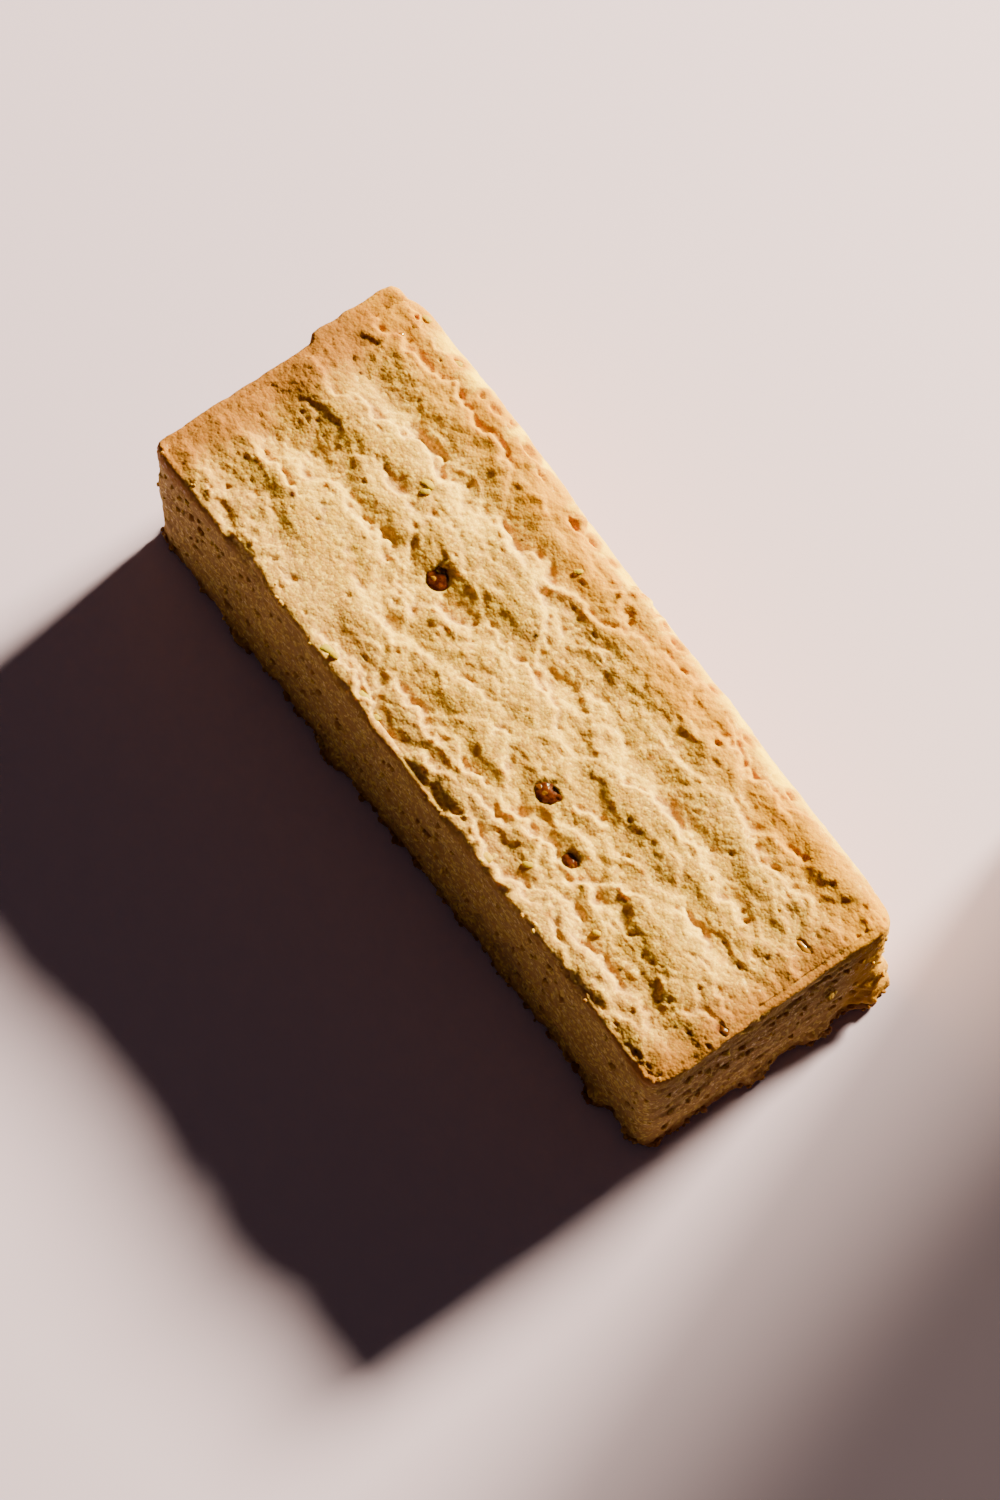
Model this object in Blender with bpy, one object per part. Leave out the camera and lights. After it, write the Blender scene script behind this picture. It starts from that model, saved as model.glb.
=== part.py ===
"""A finger of lemon shortbread, cut from a baked slab and modelled as one solid.

The finger lies on its browned underside. Its length runs along X, its width along Y, and the
origin is at the middle of the underside. The -Y side and both ends were cut with a knife; the
+Y side is the rounded rim of the slab. The top is torn into shallow creases that run lengthwise.

Sizes below are in millimetres, and MM turns them into Blender's metres when the mesh is placed.
"""

import math

import bmesh
import bpy
from mathutils import Vector, noise

MM = 0.001

# Driving dimensions of the finger.
LENGTH = 75.0
WIDTH = 28.0
THICKNESS = 19.6
WIDTH_TAPER = 0.030
THICKNESS_TAPER = 0.025

# Squares of the top sheet along X and Y, and rings of squares down the sides. The rings crowd
# together towards the foot, where the small crumbs are.
COLUMNS = 80
ROWS = 30
LAYERS = 10
LAYER_CROWDING = 1.5

# Plan radius of the four upright corners, keyed by the signs of X and Y.
CORNER_RADIUS = {(-1, -1): 1.3, (-1, 1): 4.6, (1, -1): 1.6, (1, 1): 2.2}

# How far the top rounds over towards each side.
RIM_RADIUS_CUT_SIDE = 0.5
RIM_RADIUS_SLAB_SIDE = 3.0
RIM_RADIUS_END = 0.9

# The browned foot that stands a little proud of the sides, and tucks in below.
FOOT_HEIGHT = 2.2
FOOT_REACH = 0.25
FOOT_TUCK = 0.35

# Two knife cuts met at the far end and left a step in it, from here to the slab side's corner.
END_STEP_AT = 3.3
END_STEP_REACH = 0.75

# Creases: the torn lip runs from (x0, y0) to (x1, y1). The surface drops by depth just past the
# lip, on its +Y side, and climbs back to the level of the top over the run.
CREASES = [
    {"lip": (-30.5, -4.3, -15.5, -4.6), "depth": 0.95, "run": 3.6},
    {"lip": (-34.5, -6.4, -28.8, -7.6), "depth": 0.75, "run": 2.2},
    {"lip": (-14.8, 5.1, -8.4, 5.4), "depth": 0.85, "run": 3.0},
    {"lip": (-27.0, 4.6, -22.8, 4.3), "depth": 0.60, "run": 1.5},
    {"lip": (-21.5, 5.6, -16.4, 4.4), "depth": 0.55, "run": 2.2},
    {"lip": (-13.5, -2.6, -7.6, -3.2), "depth": 0.75, "run": 2.6},
    {"lip": (-5.0, -1.4, 0.6, -1.9), "depth": 0.60, "run": 2.0},
    {"lip": (-8.6, 7.4, -5.4, 6.1), "depth": 0.75, "run": 1.4},
    {"lip": (0.4, 6.1, 5.6, 6.6), "depth": 0.70, "run": 2.6},
    {"lip": (6.0, 5.0, 15.0, 6.2), "depth": 0.55, "run": 2.0},
    {"lip": (17.6, 5.5, 22.0, 4.6), "depth": 0.75, "run": 1.8},
    {"lip": (11.2, -3.5, 16.2, -4.4), "depth": 0.85, "run": 2.6},
    {"lip": (13.2, -9.3, 24.5, -7.9), "depth": 0.75, "run": 2.4},
    {"lip": (-2.5, -13.4, 10.8, -10.2), "depth": 1.05, "run": 4.0},
    {"lip": (-12.0, -7.3, -5.8, -7.4), "depth": 0.45, "run": 1.8},
]
LIP_RISE = 0.22
LIP_WANDER = 0.45

# Open pockets in the top where bits of sugar melted and browned.
POCKETS = [
    {"centre": (-12.3, -0.9), "radius": 1.7, "depth": 1.3},
    {"centre": (10.1, -5.0), "radius": 1.8, "depth": 1.4},
    {"centre": (16.4, -7.2), "radius": 1.4, "depth": 1.1},
    {"centre": (36.0, -5.7), "radius": 1.2, "depth": 0.8},
    {"centre": (34.4, 4.8), "radius": 1.3, "depth": 0.8},
]

# Crumbs baked on to the foot: where they sit on the outline, how far they reach out, how long
# and how high they are.
FOOT_CRUMBS = [
    {"at": (31.0, -14.0), "reach": 1.3, "spread": 2.2, "height": 3.2},
    {"at": (37.5, 12.0), "reach": 1.5, "spread": 3.0, "height": 8.0},
    {"at": (37.5, 5.6), "reach": 1.0, "spread": 2.4, "height": 3.4},
    {"at": (37.5, -1.6), "reach": 0.6, "spread": 2.6, "height": 3.0},
    {"at": (-24.0, -14.0), "reach": 0.6, "spread": 2.2, "height": 2.8},
    {"at": (-9.0, -14.0), "reach": 0.5, "spread": 2.4, "height": 2.6},
]


def smooth(low, high, value):
    """0 below low, 1 above high, and an even S-curve between them."""
    share = min(1.0, max(0.0, (value - low) / (high - low)))
    return share * share * (3.0 - 2.0 * share)


def ripple(x, y, z, size, seed=0.0):
    """Unevenness from -1 to 1, whose bumps are about size millimetres apart."""
    return noise.noise(Vector((x / size + seed, y / size - seed, z / size + 2.0 * seed)))


def round_corners(x, y):
    """Moves a point of the sharp-cornered plan on to the plan with rounded corners."""
    side_x, side_y = (1 if x >= 0 else -1), (1 if y >= 0 else -1)
    radius = CORNER_RADIUS[side_x, side_y]
    a = (abs(x) - (LENGTH / 2 - radius)) / radius
    b = (abs(y) - (WIDTH / 2 - radius)) / radius
    if a <= 0 or b <= 0:
        return x, y
    # A square patch stretched over a quarter of a disc.
    disc_a = a * math.sqrt(1 - b * b / 2)
    disc_b = b * math.sqrt(1 - a * a / 2)
    return (
        side_x * (LENGTH / 2 - radius + radius * disc_a),
        side_y * (WIDTH / 2 - radius + radius * disc_b),
    )


def rim_drop(x, y):
    """How far the rounded rim lies below the flat of the top at a point of the sharp plan."""
    side_radius = RIM_RADIUS_SLAB_SIDE if y > 0 else RIM_RADIUS_CUT_SIDE
    drop = 0.0
    for inset, radius in (
        (WIDTH / 2 - abs(y), side_radius),
        (LENGTH / 2 - abs(x), RIM_RADIUS_END),
    ):
        if inset < radius:
            drop = max(drop, radius - math.sqrt(radius**2 - (radius - inset) ** 2))
    return drop


def crease_height(x, y, crease):
    """Height that one crease adds to the top: a raised lip, then a drop that runs back up."""
    x0, y0, x1, y1 = crease["lip"]
    span = math.hypot(x1 - x0, y1 - y0)
    along = ((x - x0) * (x1 - x0) + (y - y0) * (y1 - y0)) / span**2
    if not -0.05 < along < 1.05:
        return 0.0
    across = ((x1 - x0) * (y - y0) - (y1 - y0) * (x - x0)) / span
    across += LIP_WANDER * ripple(x, y, 0.0, 2.6, seed=3.0)
    fade = smooth(-0.05, 0.22, along) * smooth(1.05, 0.78, along)
    if across < 0:
        return fade * LIP_RISE * math.exp(across / 0.9)
    climb = min(1.0, across / crease["run"])
    return -fade * crease["depth"] * smooth(-0.3, 0.8, across) * (1.0 - climb) ** 1.2


def pocket_height(x, y, pocket):
    """Height that one open pocket takes out of the top."""
    away = math.hypot(x - pocket["centre"][0], y - pocket["centre"][1]) / pocket["radius"]
    return -pocket["depth"] * smooth(1.0, 0.35, away)


def top_height(x, y):
    """Height of the top above the underside at a point of the sharp plan."""
    flat = THICKNESS * (1.0 - THICKNESS_TAPER * x / (LENGTH / 2))
    swell = 0.22 * ripple(x / 2.2, y, 0.0, 6.0, seed=1.0)
    tears = sum(crease_height(x, y, crease) for crease in CREASES)
    holes = sum(pocket_height(x, y, pocket) for pocket in POCKETS)
    inset = min(LENGTH / 2 - abs(x), WIDTH / 2 - abs(y))
    return flat + (swell + tears + holes) * smooth(-0.8, 1.2, inset) - rim_drop(x, y)


def outward(x, y):
    """Level direction that points out of the finger from a point on its sharp outline."""
    way = Vector((0.0, 0.0))
    if LENGTH / 2 - abs(x) < 1e-6:
        way.x = math.copysign(1.0, x)
    if WIDTH / 2 - abs(y) < 1e-6:
        way.y = math.copysign(1.0, y)
    return way.normalized()


def side_reach(x, y, z):
    """How far the side stands out of the plain outline at a height z."""
    reach = 0.28 * ripple(x, y, z * 1.7, 3.0, seed=5.0) + 0.20 * ripple(x, y, z, 9.0, seed=7.0)
    foot = FOOT_REACH * (1.0 + ripple(x, y, 0.0, 2.4, seed=9.0)) * smooth(FOOT_HEIGHT, 0.6, z)
    for crumb in FOOT_CRUMBS:
        away = math.hypot(x - crumb["at"][0], y - crumb["at"][1]) / crumb["spread"]
        foot += crumb["reach"] * smooth(1.0, 0.2, away) * smooth(crumb["height"], 0.6, z)
    step = END_STEP_REACH * smooth(END_STEP_AT - 0.5, END_STEP_AT + 0.5, y) if x < 0 else 0.0
    if y > WIDTH / 2 - CORNER_RADIUS[-1, 1]:
        step *= smooth(WIDTH / 2, WIDTH / 2 - CORNER_RADIUS[-1, 1], y)
    tuck = FOOT_TUCK * smooth(0.8, 0.0, z)
    return reach + foot + step * smooth(-LENGTH / 2 + 0.1, -LENGTH / 2, x) - tuck


def shaped(x, y, z):
    """The finished place of a point on the surface of the sharp block."""
    top = top_height(x, y)
    height = top * z / THICKNESS
    plan_x, plan_y = round_corners(x, y)
    way = outward(x, y)
    out = side_reach(x, y, height) if way.length else 0.0
    plan_x += way.x * out
    plan_y = plan_y * (1.0 - WIDTH_TAPER * x / (LENGTH / 2)) + way.y * out
    return Vector((plan_x, plan_y, height))


def block_mesh():
    """A sharp block: a sheet of squares whose rim is pulled down ring by ring, then closed."""
    bm = bmesh.new()
    bmesh.ops.create_grid(bm, x_segments=COLUMNS, y_segments=ROWS, size=0.5)
    bmesh.ops.scale(bm, vec=(LENGTH, WIDTH, 1.0), verts=bm.verts)
    bmesh.ops.translate(bm, vec=(0.0, 0.0, THICKNESS), verts=bm.verts)
    rim = [edge for edge in bm.edges if edge.is_boundary]
    for layer in range(LAYERS - 1, -1, -1):
        pulled = bmesh.ops.extrude_edge_only(bm, edges=rim)["geom"]
        for vert in pulled:
            if isinstance(vert, bmesh.types.BMVert):
                vert.co.z = THICKNESS * (layer / LAYERS) ** LAYER_CROWDING
        rim = [part for part in pulled if isinstance(part, bmesh.types.BMEdge) and part.is_boundary]
    bmesh.ops.holes_fill(bm, edges=rim, sides=0)
    bmesh.ops.recalc_face_normals(bm, faces=bm.faces)
    return bm


def settle_at_origin(bm):
    """Slides the shape level so that the middle of its box is over the origin."""
    for axis in range(2):
        places = [vert.co[axis] for vert in bm.verts]
        middle = (min(places) + max(places)) / 2
        for vert in bm.verts:
            vert.co[axis] -= middle


def baked_material():
    """Pale golden biscuit, dull and dry."""
    material = bpy.data.materials.new("baked_shortbread")
    material.use_nodes = True
    shader = material.node_tree.nodes["Principled BSDF"]
    shader.inputs["Base Color"].default_value = (0.72, 0.47, 0.20, 1.0)
    shader.inputs["Roughness"].default_value = 0.85
    shader.inputs["Metallic"].default_value = 0.0
    return material


def make_shortbread():
    """The finger as one closed mesh."""
    bm = block_mesh()
    for vert in bm.verts:
        vert.co = shaped(*vert.co)
    settle_at_origin(bm)
    bmesh.ops.scale(bm, vec=(MM, MM, MM), verts=bm.verts)
    mesh = bpy.data.meshes.new("shortbread")
    bm.to_mesh(mesh)
    bm.free()
    mesh.shade_smooth()
    mesh.set_sharp_from_angle(angle=math.radians(50))
    finger = bpy.data.objects.new("shortbread", mesh)
    finger.data.materials.append(baked_material())
    bpy.context.scene.collection.objects.link(finger)
    return finger


for leftover in list(bpy.data.objects):
    bpy.data.objects.remove(leftover)
make_shortbread()
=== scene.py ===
# %% [markdown]
# # A finger of lemon shortbread
#
# This script dresses a plain solid, which was made to size elsewhere, as a real finger of shortbread:
# a pale golden top torn into ragged creases, knife-cut sides full of fine pores, a browned foot, bits
# of melted sugar and flecks of lemon zest. Everything shares the plain solid's frame: X runs along the
# finger, Z points up, the floor is at height 0, and lengths are in metres.
#
# It is the ruler for all that follows, so its box is measured first. Crumbs stick out of the finger on
# two sides, so the middle of the knife-cut block lies a little off the middle of that box. Shapes
# below are worked out in millimetres from the block's own middle, because crumb and sugar are easy to
# picture at that scale.

# %% Load the plain solid
import math
import random

import bmesh
import bpy
import numpy as np
from mathutils import Matrix, Vector, noise


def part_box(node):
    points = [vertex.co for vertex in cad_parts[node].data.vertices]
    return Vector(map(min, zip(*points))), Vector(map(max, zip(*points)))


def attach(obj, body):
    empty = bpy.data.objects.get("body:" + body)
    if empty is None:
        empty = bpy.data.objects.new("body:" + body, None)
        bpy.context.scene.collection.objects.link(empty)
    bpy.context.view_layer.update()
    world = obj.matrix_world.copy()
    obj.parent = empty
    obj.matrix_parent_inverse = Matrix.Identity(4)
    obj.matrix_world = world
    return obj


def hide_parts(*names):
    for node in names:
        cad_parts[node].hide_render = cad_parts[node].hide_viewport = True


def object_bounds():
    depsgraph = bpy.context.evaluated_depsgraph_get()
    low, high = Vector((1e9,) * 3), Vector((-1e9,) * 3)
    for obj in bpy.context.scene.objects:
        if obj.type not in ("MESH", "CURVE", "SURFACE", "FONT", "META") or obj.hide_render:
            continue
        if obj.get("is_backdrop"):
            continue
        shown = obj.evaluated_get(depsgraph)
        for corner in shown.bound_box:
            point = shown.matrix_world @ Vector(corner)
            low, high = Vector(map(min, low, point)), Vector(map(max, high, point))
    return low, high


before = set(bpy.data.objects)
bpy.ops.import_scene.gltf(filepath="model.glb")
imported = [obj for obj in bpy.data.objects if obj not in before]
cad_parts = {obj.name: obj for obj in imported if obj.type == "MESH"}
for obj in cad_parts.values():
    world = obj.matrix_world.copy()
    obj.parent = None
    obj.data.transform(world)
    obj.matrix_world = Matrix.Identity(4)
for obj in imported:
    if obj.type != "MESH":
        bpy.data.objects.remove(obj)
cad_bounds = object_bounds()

MM = 0.001
SOLID = "shortbread"
BODY = "root"
low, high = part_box(SOLID)
print("plain solid, mm:", [round(side / MM, 1) for side in high - low])

# %% Sizes of the knife-cut block, in millimetres
LENGTH = 75.0
WIDTH = 28.0
THICKNESS = 19.6
WIDTH_TAPER = 0.030
THICKNESS_TAPER = 0.025
BLOCK_MIDDLE = np.array([-0.24, 0.24, 0.0])
CORNER_RADII = {(-1, -1): 1.3, (-1, 1): 3.2, (1, -1): 1.6, (1, 1): 2.2}
print("block, mm:", LENGTH, WIDTH, THICKNESS)

# %% [markdown]
# ## Unevenness in code
#
# Baked crumb has no two places alike. Blender's `mathutils.noise` gives a smooth random value for any
# point in space, so it can stand for dough that rose and tore unevenly. Its random vectors take their
# starting number from the clock, so `seed_set` gives it a fixed one, and each run comes out the same.
# `ripple` asks for noise at many points at once, and `smooth` turns a hard threshold into an S-curve.

# %% Helpers for unevenness
NOISE_SEED = 5
noise.seed_set(NOISE_SEED)


def smooth(start, end, value):
    """0 before start, 1 after end, and an even S-curve between them. It also runs downwards."""
    share = np.clip((value - start) / (end - start), 0.0, 1.0)
    return share * share * (3.0 - 2.0 * share)


def ripple(places, size, seed=0.0):
    """Unevenness from about -1 to 1 at each place. Its bumps are size millimetres across."""
    scaled = places / np.array(size, float) + seed
    return np.array([noise.noise(place) for place in scaled.tolist()])


def half_width(x):
    """Half of the block's width at a place along it: it narrows towards +X."""
    return WIDTH / 2 * (1.0 - WIDTH_TAPER * x / (LENGTH / 2))


def thickness(x):
    """The block's thickness at a place along it: it thins towards +X."""
    return THICKNESS * (1.0 - THICKNESS_TAPER * x / (LENGTH / 2))


# %% [markdown]
# ## The camera
#
# The camera looks down on the finger from beyond its near end, with a long lens, so that the far end
# hardly shrinks. It is aimed by `to_track_quat`, which points its -Z axis at the target and keeps its
# +Y axis as upright as it can, and then it is rolled a little about its own line of sight.

# %% Set the camera
CAMERA_PLACE = Vector((128.19, -109.64, 432.55)) * MM
CAMERA_TARGET = Vector((1.33, -3.65, 10.0)) * MM
CAMERA_ROLL = math.radians(4.24)

camera_data = bpy.data.cameras.new("camera")
camera_data.lens = 120.0
camera_data.sensor_width = 36.0
camera_data.clip_start = 0.01
camera = bpy.data.objects.new("camera", camera_data)
bpy.context.scene.collection.objects.link(camera)
sight = CAMERA_TARGET - CAMERA_PLACE
aim = sight.to_track_quat("-Z", "Y").to_matrix() @ Matrix.Rotation(CAMERA_ROLL, 3, "Z")
camera.matrix_world = Matrix.Translation(CAMERA_PLACE) @ aim.to_4x4()
bpy.context.scene.camera = camera
print("camera is", round(sight.length, 3), "m from its target")

# %% [markdown]
# ## Building materials in code
#
# A material is a tree of nodes. The same few steps come back in every one: a new tree, one colour laid
# over another, a sum, a cloud of noise, a number read from the mesh. Each gets a helper, so that the
# materials further down read as a list of layers.

# %% Helpers for materials
def new_material(name):
    """A material with its own node tree, and the tree and Principled shader in it."""
    material = bpy.data.materials.new(name)
    material.use_nodes = True
    return material, material.node_tree, material.node_tree.nodes["Principled BSDF"]


def mix_colours(tree, below, above, share):
    """Lays the colour above over the colour below, by a share from 0 to 1."""
    mix = tree.nodes.new("ShaderNodeMix")
    mix.data_type = "RGBA"
    for socket, value in ((mix.inputs[0], share), (mix.inputs[6], below), (mix.inputs[7], above)):
        if isinstance(value, bpy.types.NodeSocket):
            tree.links.new(value, socket)
        else:
            socket.default_value = value
    return mix.outputs[2]


def calculate(tree, operation, *values):
    """A Math node of these values, each a number or another node's output."""
    maths = tree.nodes.new("ShaderNodeMath")
    maths.operation = operation
    for socket, value in zip(maths.inputs, values):
        if isinstance(value, bpy.types.NodeSocket):
            tree.links.new(value, socket)
        else:
            socket.default_value = value
    return maths.outputs[0]


def add_bump(tree, shader, height, strength, reach):
    """Lets a height stand for relief of up to reach millimetres that is finer than the mesh."""
    bump = tree.nodes.new("ShaderNodeBump")
    bump.inputs["Strength"].default_value = strength
    bump.inputs["Distance"].default_value = reach * MM
    tree.links.new(height, bump.inputs["Height"])
    tree.links.new(bump.outputs["Normal"], shader.inputs["Normal"])


def let_light_in(shader, weight, colours, reach):
    """Lets light travel inside by up to reach millimetres, by these shares of red, green and blue."""
    shader.inputs["Subsurface Weight"].default_value = weight
    shader.inputs["Subsurface Radius"].default_value = colours
    shader.inputs["Subsurface Scale"].default_value = reach * MM


def attribute(tree, name):
    """The number that a mesh attribute holds at each place."""
    reader = tree.nodes.new("ShaderNodeAttribute")
    reader.attribute_name = name
    return reader.outputs["Fac"]


def cloud(tree, size, detail=2.0, stretch=(1.0, 1.0, 1.0)):
    """Noise whose blotches are size millimetres across, from 0 to 1."""
    coordinates = tree.nodes.new("ShaderNodeTexCoord")
    mapping = tree.nodes.new("ShaderNodeMapping")
    mapping.inputs["Scale"].default_value = [1.0 / (size * MM * side) for side in stretch]
    texture = tree.nodes.new("ShaderNodeTexNoise")
    texture.inputs["Scale"].default_value = 1.0
    texture.inputs["Detail"].default_value = detail
    tree.links.new(coordinates.outputs["Object"], mapping.inputs["Vector"])
    tree.links.new(mapping.outputs["Vector"], texture.inputs["Vector"])
    return texture.outputs["Fac"]


# %% [markdown]
# ## Floor and light
#
# The finger lies on a plain pale floor. One lamp stands low on the side of the rounded rim, so that
# its light rakes across the top and every tear shows. A lamp with some size gives shadows a soft edge.
# The world adds a little light from all around, which keeps the shaded sides readable.
#
# Something beyond the near end takes part of the lamp's light away from it and from the floor there. A
# sheet of grey gauze does that here: a plane that the camera doesn't see, thin along one edge and dense
# beyond it. Its density is the shader's Alpha, and it fades out just above the floor, where it would
# otherwise draw a hard line.

# %% Floor
bpy.ops.object.select_all(action="DESELECT")
bpy.ops.mesh.primitive_plane_add(size=3.0, location=(0.0, 0.0, 0.0))
floor = bpy.context.object
floor.name = "floor"
floor_material, tree, floor_shader = new_material("pale_floor")
floor_shader.inputs["Base Color"].default_value = (0.60, 0.485, 0.87, 1.0)
floor_shader.inputs["Roughness"].default_value = 0.55
floor.data.materials.append(floor_material)
floor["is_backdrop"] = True

# %% Gauze that shades the near end
GAUZE_PLACE = (0.187, 0.042, 0.116)
GAUZE_SIZE = (0.25, 0.30, 1.0)
GAUZE_LEAN = math.radians(13.8)
GAUZE_THIN, GAUZE_DENSE = 0.58, 0.94
THIN_SHARE_OF_WIDTH = 0.08
FADE_ABOVE_FLOOR = 6.0 * MM

gauze_material, tree, gauze_shader = new_material("grey_gauze")
gauze_shader.inputs["Base Color"].default_value = (0.02, 0.02, 0.02, 1.0)
own_map = tree.nodes.new("ShaderNodeTexCoord")
across_gauze = tree.nodes.new("ShaderNodeSeparateXYZ")
tree.links.new(own_map.outputs["UV"], across_gauze.inputs["Vector"])
density = tree.nodes.new("ShaderNodeMapRange")
density.inputs["From Max"].default_value = THIN_SHARE_OF_WIDTH
density.inputs["To Min"].default_value = GAUZE_THIN
density.inputs["To Max"].default_value = GAUZE_DENSE
tree.links.new(across_gauze.outputs["X"], density.inputs["Value"])
in_room = tree.nodes.new("ShaderNodeNewGeometry")
above_floor = tree.nodes.new("ShaderNodeSeparateXYZ")
tree.links.new(in_room.outputs["Position"], above_floor.inputs["Vector"])
foot_fade = tree.nodes.new("ShaderNodeMapRange")
foot_fade.inputs["From Max"].default_value = FADE_ABOVE_FLOOR
tree.links.new(above_floor.outputs["Z"], foot_fade.inputs["Value"])
gauze_alpha = calculate(tree, "MULTIPLY", density.outputs["Result"], foot_fade.outputs["Result"])
tree.links.new(gauze_alpha, gauze_shader.inputs["Alpha"])

bpy.ops.object.select_all(action="DESELECT")
gauze_turn = (math.radians(90.0), GAUZE_LEAN, 0.0)
bpy.ops.mesh.primitive_plane_add(size=1.0, location=GAUZE_PLACE, rotation=gauze_turn)
gauze = bpy.context.object
gauze.name = "shade_gauze"
gauze.scale = GAUZE_SIZE
gauze.visible_camera = False
gauze.data.materials.append(gauze_material)
gauze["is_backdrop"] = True
print("gauze lets through", round(1.0 - GAUZE_THIN, 2), "of the light at its thin edge")

# %% Lamp and surrounding light
LAMP_COLOUR = (1.0, 0.87, 0.45)
LAMP_POWER = 84.0
SURROUNDING_COLOUR = (1.0, 0.74, 0.54, 1.0)
SURROUNDING_STRENGTH = 0.058
LAMP_SPREAD = 0.20
LAMP_AWAY = 1.0
lamp_way = Vector((-3.5, 37.7, 19.0)).normalized()
lamp_data = bpy.data.lights.new("window_lamp", "AREA")
lamp_data.shape = "DISK"
lamp_data.size = LAMP_SPREAD
lamp_data.energy = LAMP_POWER
lamp_data.color = LAMP_COLOUR
lamp = bpy.data.objects.new("window_lamp", lamp_data)
lamp.location = lamp_way * LAMP_AWAY
lamp.rotation_euler = (-lamp_way).to_track_quat("-Z", "Y").to_euler()
bpy.context.scene.collection.objects.link(lamp)

world = bpy.data.worlds.new("soft_surroundings")
world.use_nodes = True
background = world.node_tree.nodes["Background"]
background.inputs["Color"].default_value = SURROUNDING_COLOUR
background.inputs["Strength"].default_value = SURROUNDING_STRENGTH
bpy.context.scene.world = world
print("lamp stands", round(math.degrees(math.asin(lamp_way.z)), 1), "degrees above the floor")

# %% [markdown]
# ## The block
#
# The finger starts as the block that a knife would cut: a cube, stretched to size, with one end drawn
# in a little and the four upright corners rounded, each by its own radius. `Bevel` works on the edges
# that are selected, so a helper selects edges by asking a question of both of their ends.

# %% Helpers for edit mode
def select_only(piece):
    """Makes one object the only selected one, and the active one."""
    bpy.ops.object.select_all(action="DESELECT")
    piece.select_set(True)
    bpy.context.view_layer.objects.active = piece


def edit_edges(piece, wanted):
    """Opens edit mode with only those edges selected for which wanted(one end, other end) is true."""
    select_only(piece)
    bpy.ops.object.mode_set(mode="EDIT")
    bpy.ops.mesh.select_mode(type="EDGE")
    bm = bmesh.from_edit_mesh(piece.data)
    for face in bm.faces:
        face.select = False
    for edge in bm.edges:
        edge.select = bool(wanted(edge.verts[0].co / MM, edge.verts[1].co / MM))
    bm.select_flush_mode()
    bmesh.update_edit_mesh(piece.data)


def edit_faces(piece, wanted):
    """Opens edit mode with only those faces selected for which wanted(middle, normal) is true."""
    select_only(piece)
    bpy.ops.object.mode_set(mode="EDIT")
    bpy.ops.mesh.select_mode(type="FACE")
    bm = bmesh.from_edit_mesh(piece.data)
    for face in bm.faces:
        face.select = bool(wanted(face.calc_center_median() / MM, face.normal))
    bm.select_flush_mode()
    bmesh.update_edit_mesh(piece.data)


def apply_all(piece):
    """Applies every modifier of a piece, in their order."""
    select_only(piece)
    for modifier in list(piece.modifiers):
        bpy.ops.object.modifier_apply(modifier=modifier.name)


# %% Cut the block
middle = Vector(BLOCK_MIDDLE) * MM
bpy.ops.object.select_all(action="DESELECT")
bpy.ops.mesh.primitive_cube_add(size=1.0, location=middle + Vector((0.0, 0.0, THICKNESS / 2 * MM)))
finger = bpy.context.object
finger.name = "shortbread_finger"
finger.scale = Vector((LENGTH, WIDTH, THICKNESS)) * MM
bpy.ops.object.transform_apply(location=True, rotation=True, scale=True)

for side in (-1, 1):
    edit_faces(finger, lambda place, normal: normal.x * side > 0.9)
    bpy.ops.transform.resize(
        value=(1.0, 1.0 - side * WIDTH_TAPER, 1.0 - side * THICKNESS_TAPER),
        center_override=(side * LENGTH / 2 * MM, middle.y, 0.0),
    )
    bpy.ops.object.mode_set(mode="OBJECT")

for (side_x, side_y), radius in CORNER_RADII.items():
    def at_corner(place):
        return (place.x - BLOCK_MIDDLE[0]) * side_x > 30.0 and (place.y - BLOCK_MIDDLE[1]) * side_y > 9.0

    edit_edges(finger, lambda one, two: at_corner(one) and at_corner(two) and abs(one.z - two.z) > 9.0)
    bpy.ops.mesh.bevel(offset=radius * MM, offset_type="OFFSET", segments=8, affect="EDGES")
    bpy.ops.object.mode_set(mode="OBJECT")
print("block has", len(finger.data.polygons), "faces")

# %% [markdown]
# ## An even skin to sculpt
#
# Tears and pores need many small faces of one size. The Remesh modifier in voxel mode lays an even
# grid of quads over any closed shape. The top carries the finest tears, so its faces are then divided
# once more in edit mode. The underside stays one flat face, because the finger rests on it.

# %% Remesh
VOXEL = 0.37

remesh = finger.modifiers.new("even_skin", "REMESH")
remesh.mode = "VOXEL"
remesh.voxel_size = VOXEL * MM
apply_all(finger)
edit_faces(finger, lambda place, normal: normal.z < -0.9 and place.z < 0.2)
bpy.ops.mesh.delete(type="FACE")
bpy.ops.object.mode_set(mode="OBJECT")
print("skin has", len(finger.data.polygons), "faces")

# %% Press the slab's rim round
SLAB_RIM_RADIUS = 3.0
CUT_RIM_RADIUS = 0.6
END_RIM_RADIUS = 0.9


def rounded(a, b, radius):
    """Moves points of a square corner, a and b in from it, on to a quarter circle."""
    inside = (a <= 0) | (b <= 0)
    share_a, share_b = np.clip(a / radius, 0, 1), np.clip(b / radius, 0, 1)
    disc_a = radius * share_a * np.sqrt(1 - share_b**2 / 2)
    disc_b = radius * share_b * np.sqrt(1 - share_a**2 / 2)
    return np.where(inside, a, disc_a), np.where(inside, b, disc_b)


def get_places(piece):
    """The vertices of a piece in millimetres from the block's middle."""
    flat = np.empty(len(piece.data.vertices) * 3)
    piece.data.vertices.foreach_get("co", flat)
    return flat.reshape(-1, 3) / MM - BLOCK_MIDDLE


def put_places(piece, places):
    """Moves the vertices of a piece to places in millimetres from the block's middle."""
    piece.data.vertices.foreach_set("co", ((places + BLOCK_MIDDLE) * MM).ravel())
    piece.data.update()


def get_normals(piece):
    """The way that the skin faces at each vertex of a piece."""
    flat = np.empty(len(piece.data.vertices) * 3)
    piece.data.vertices.foreach_get("normal", flat)
    return flat.reshape(-1, 3)


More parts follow.
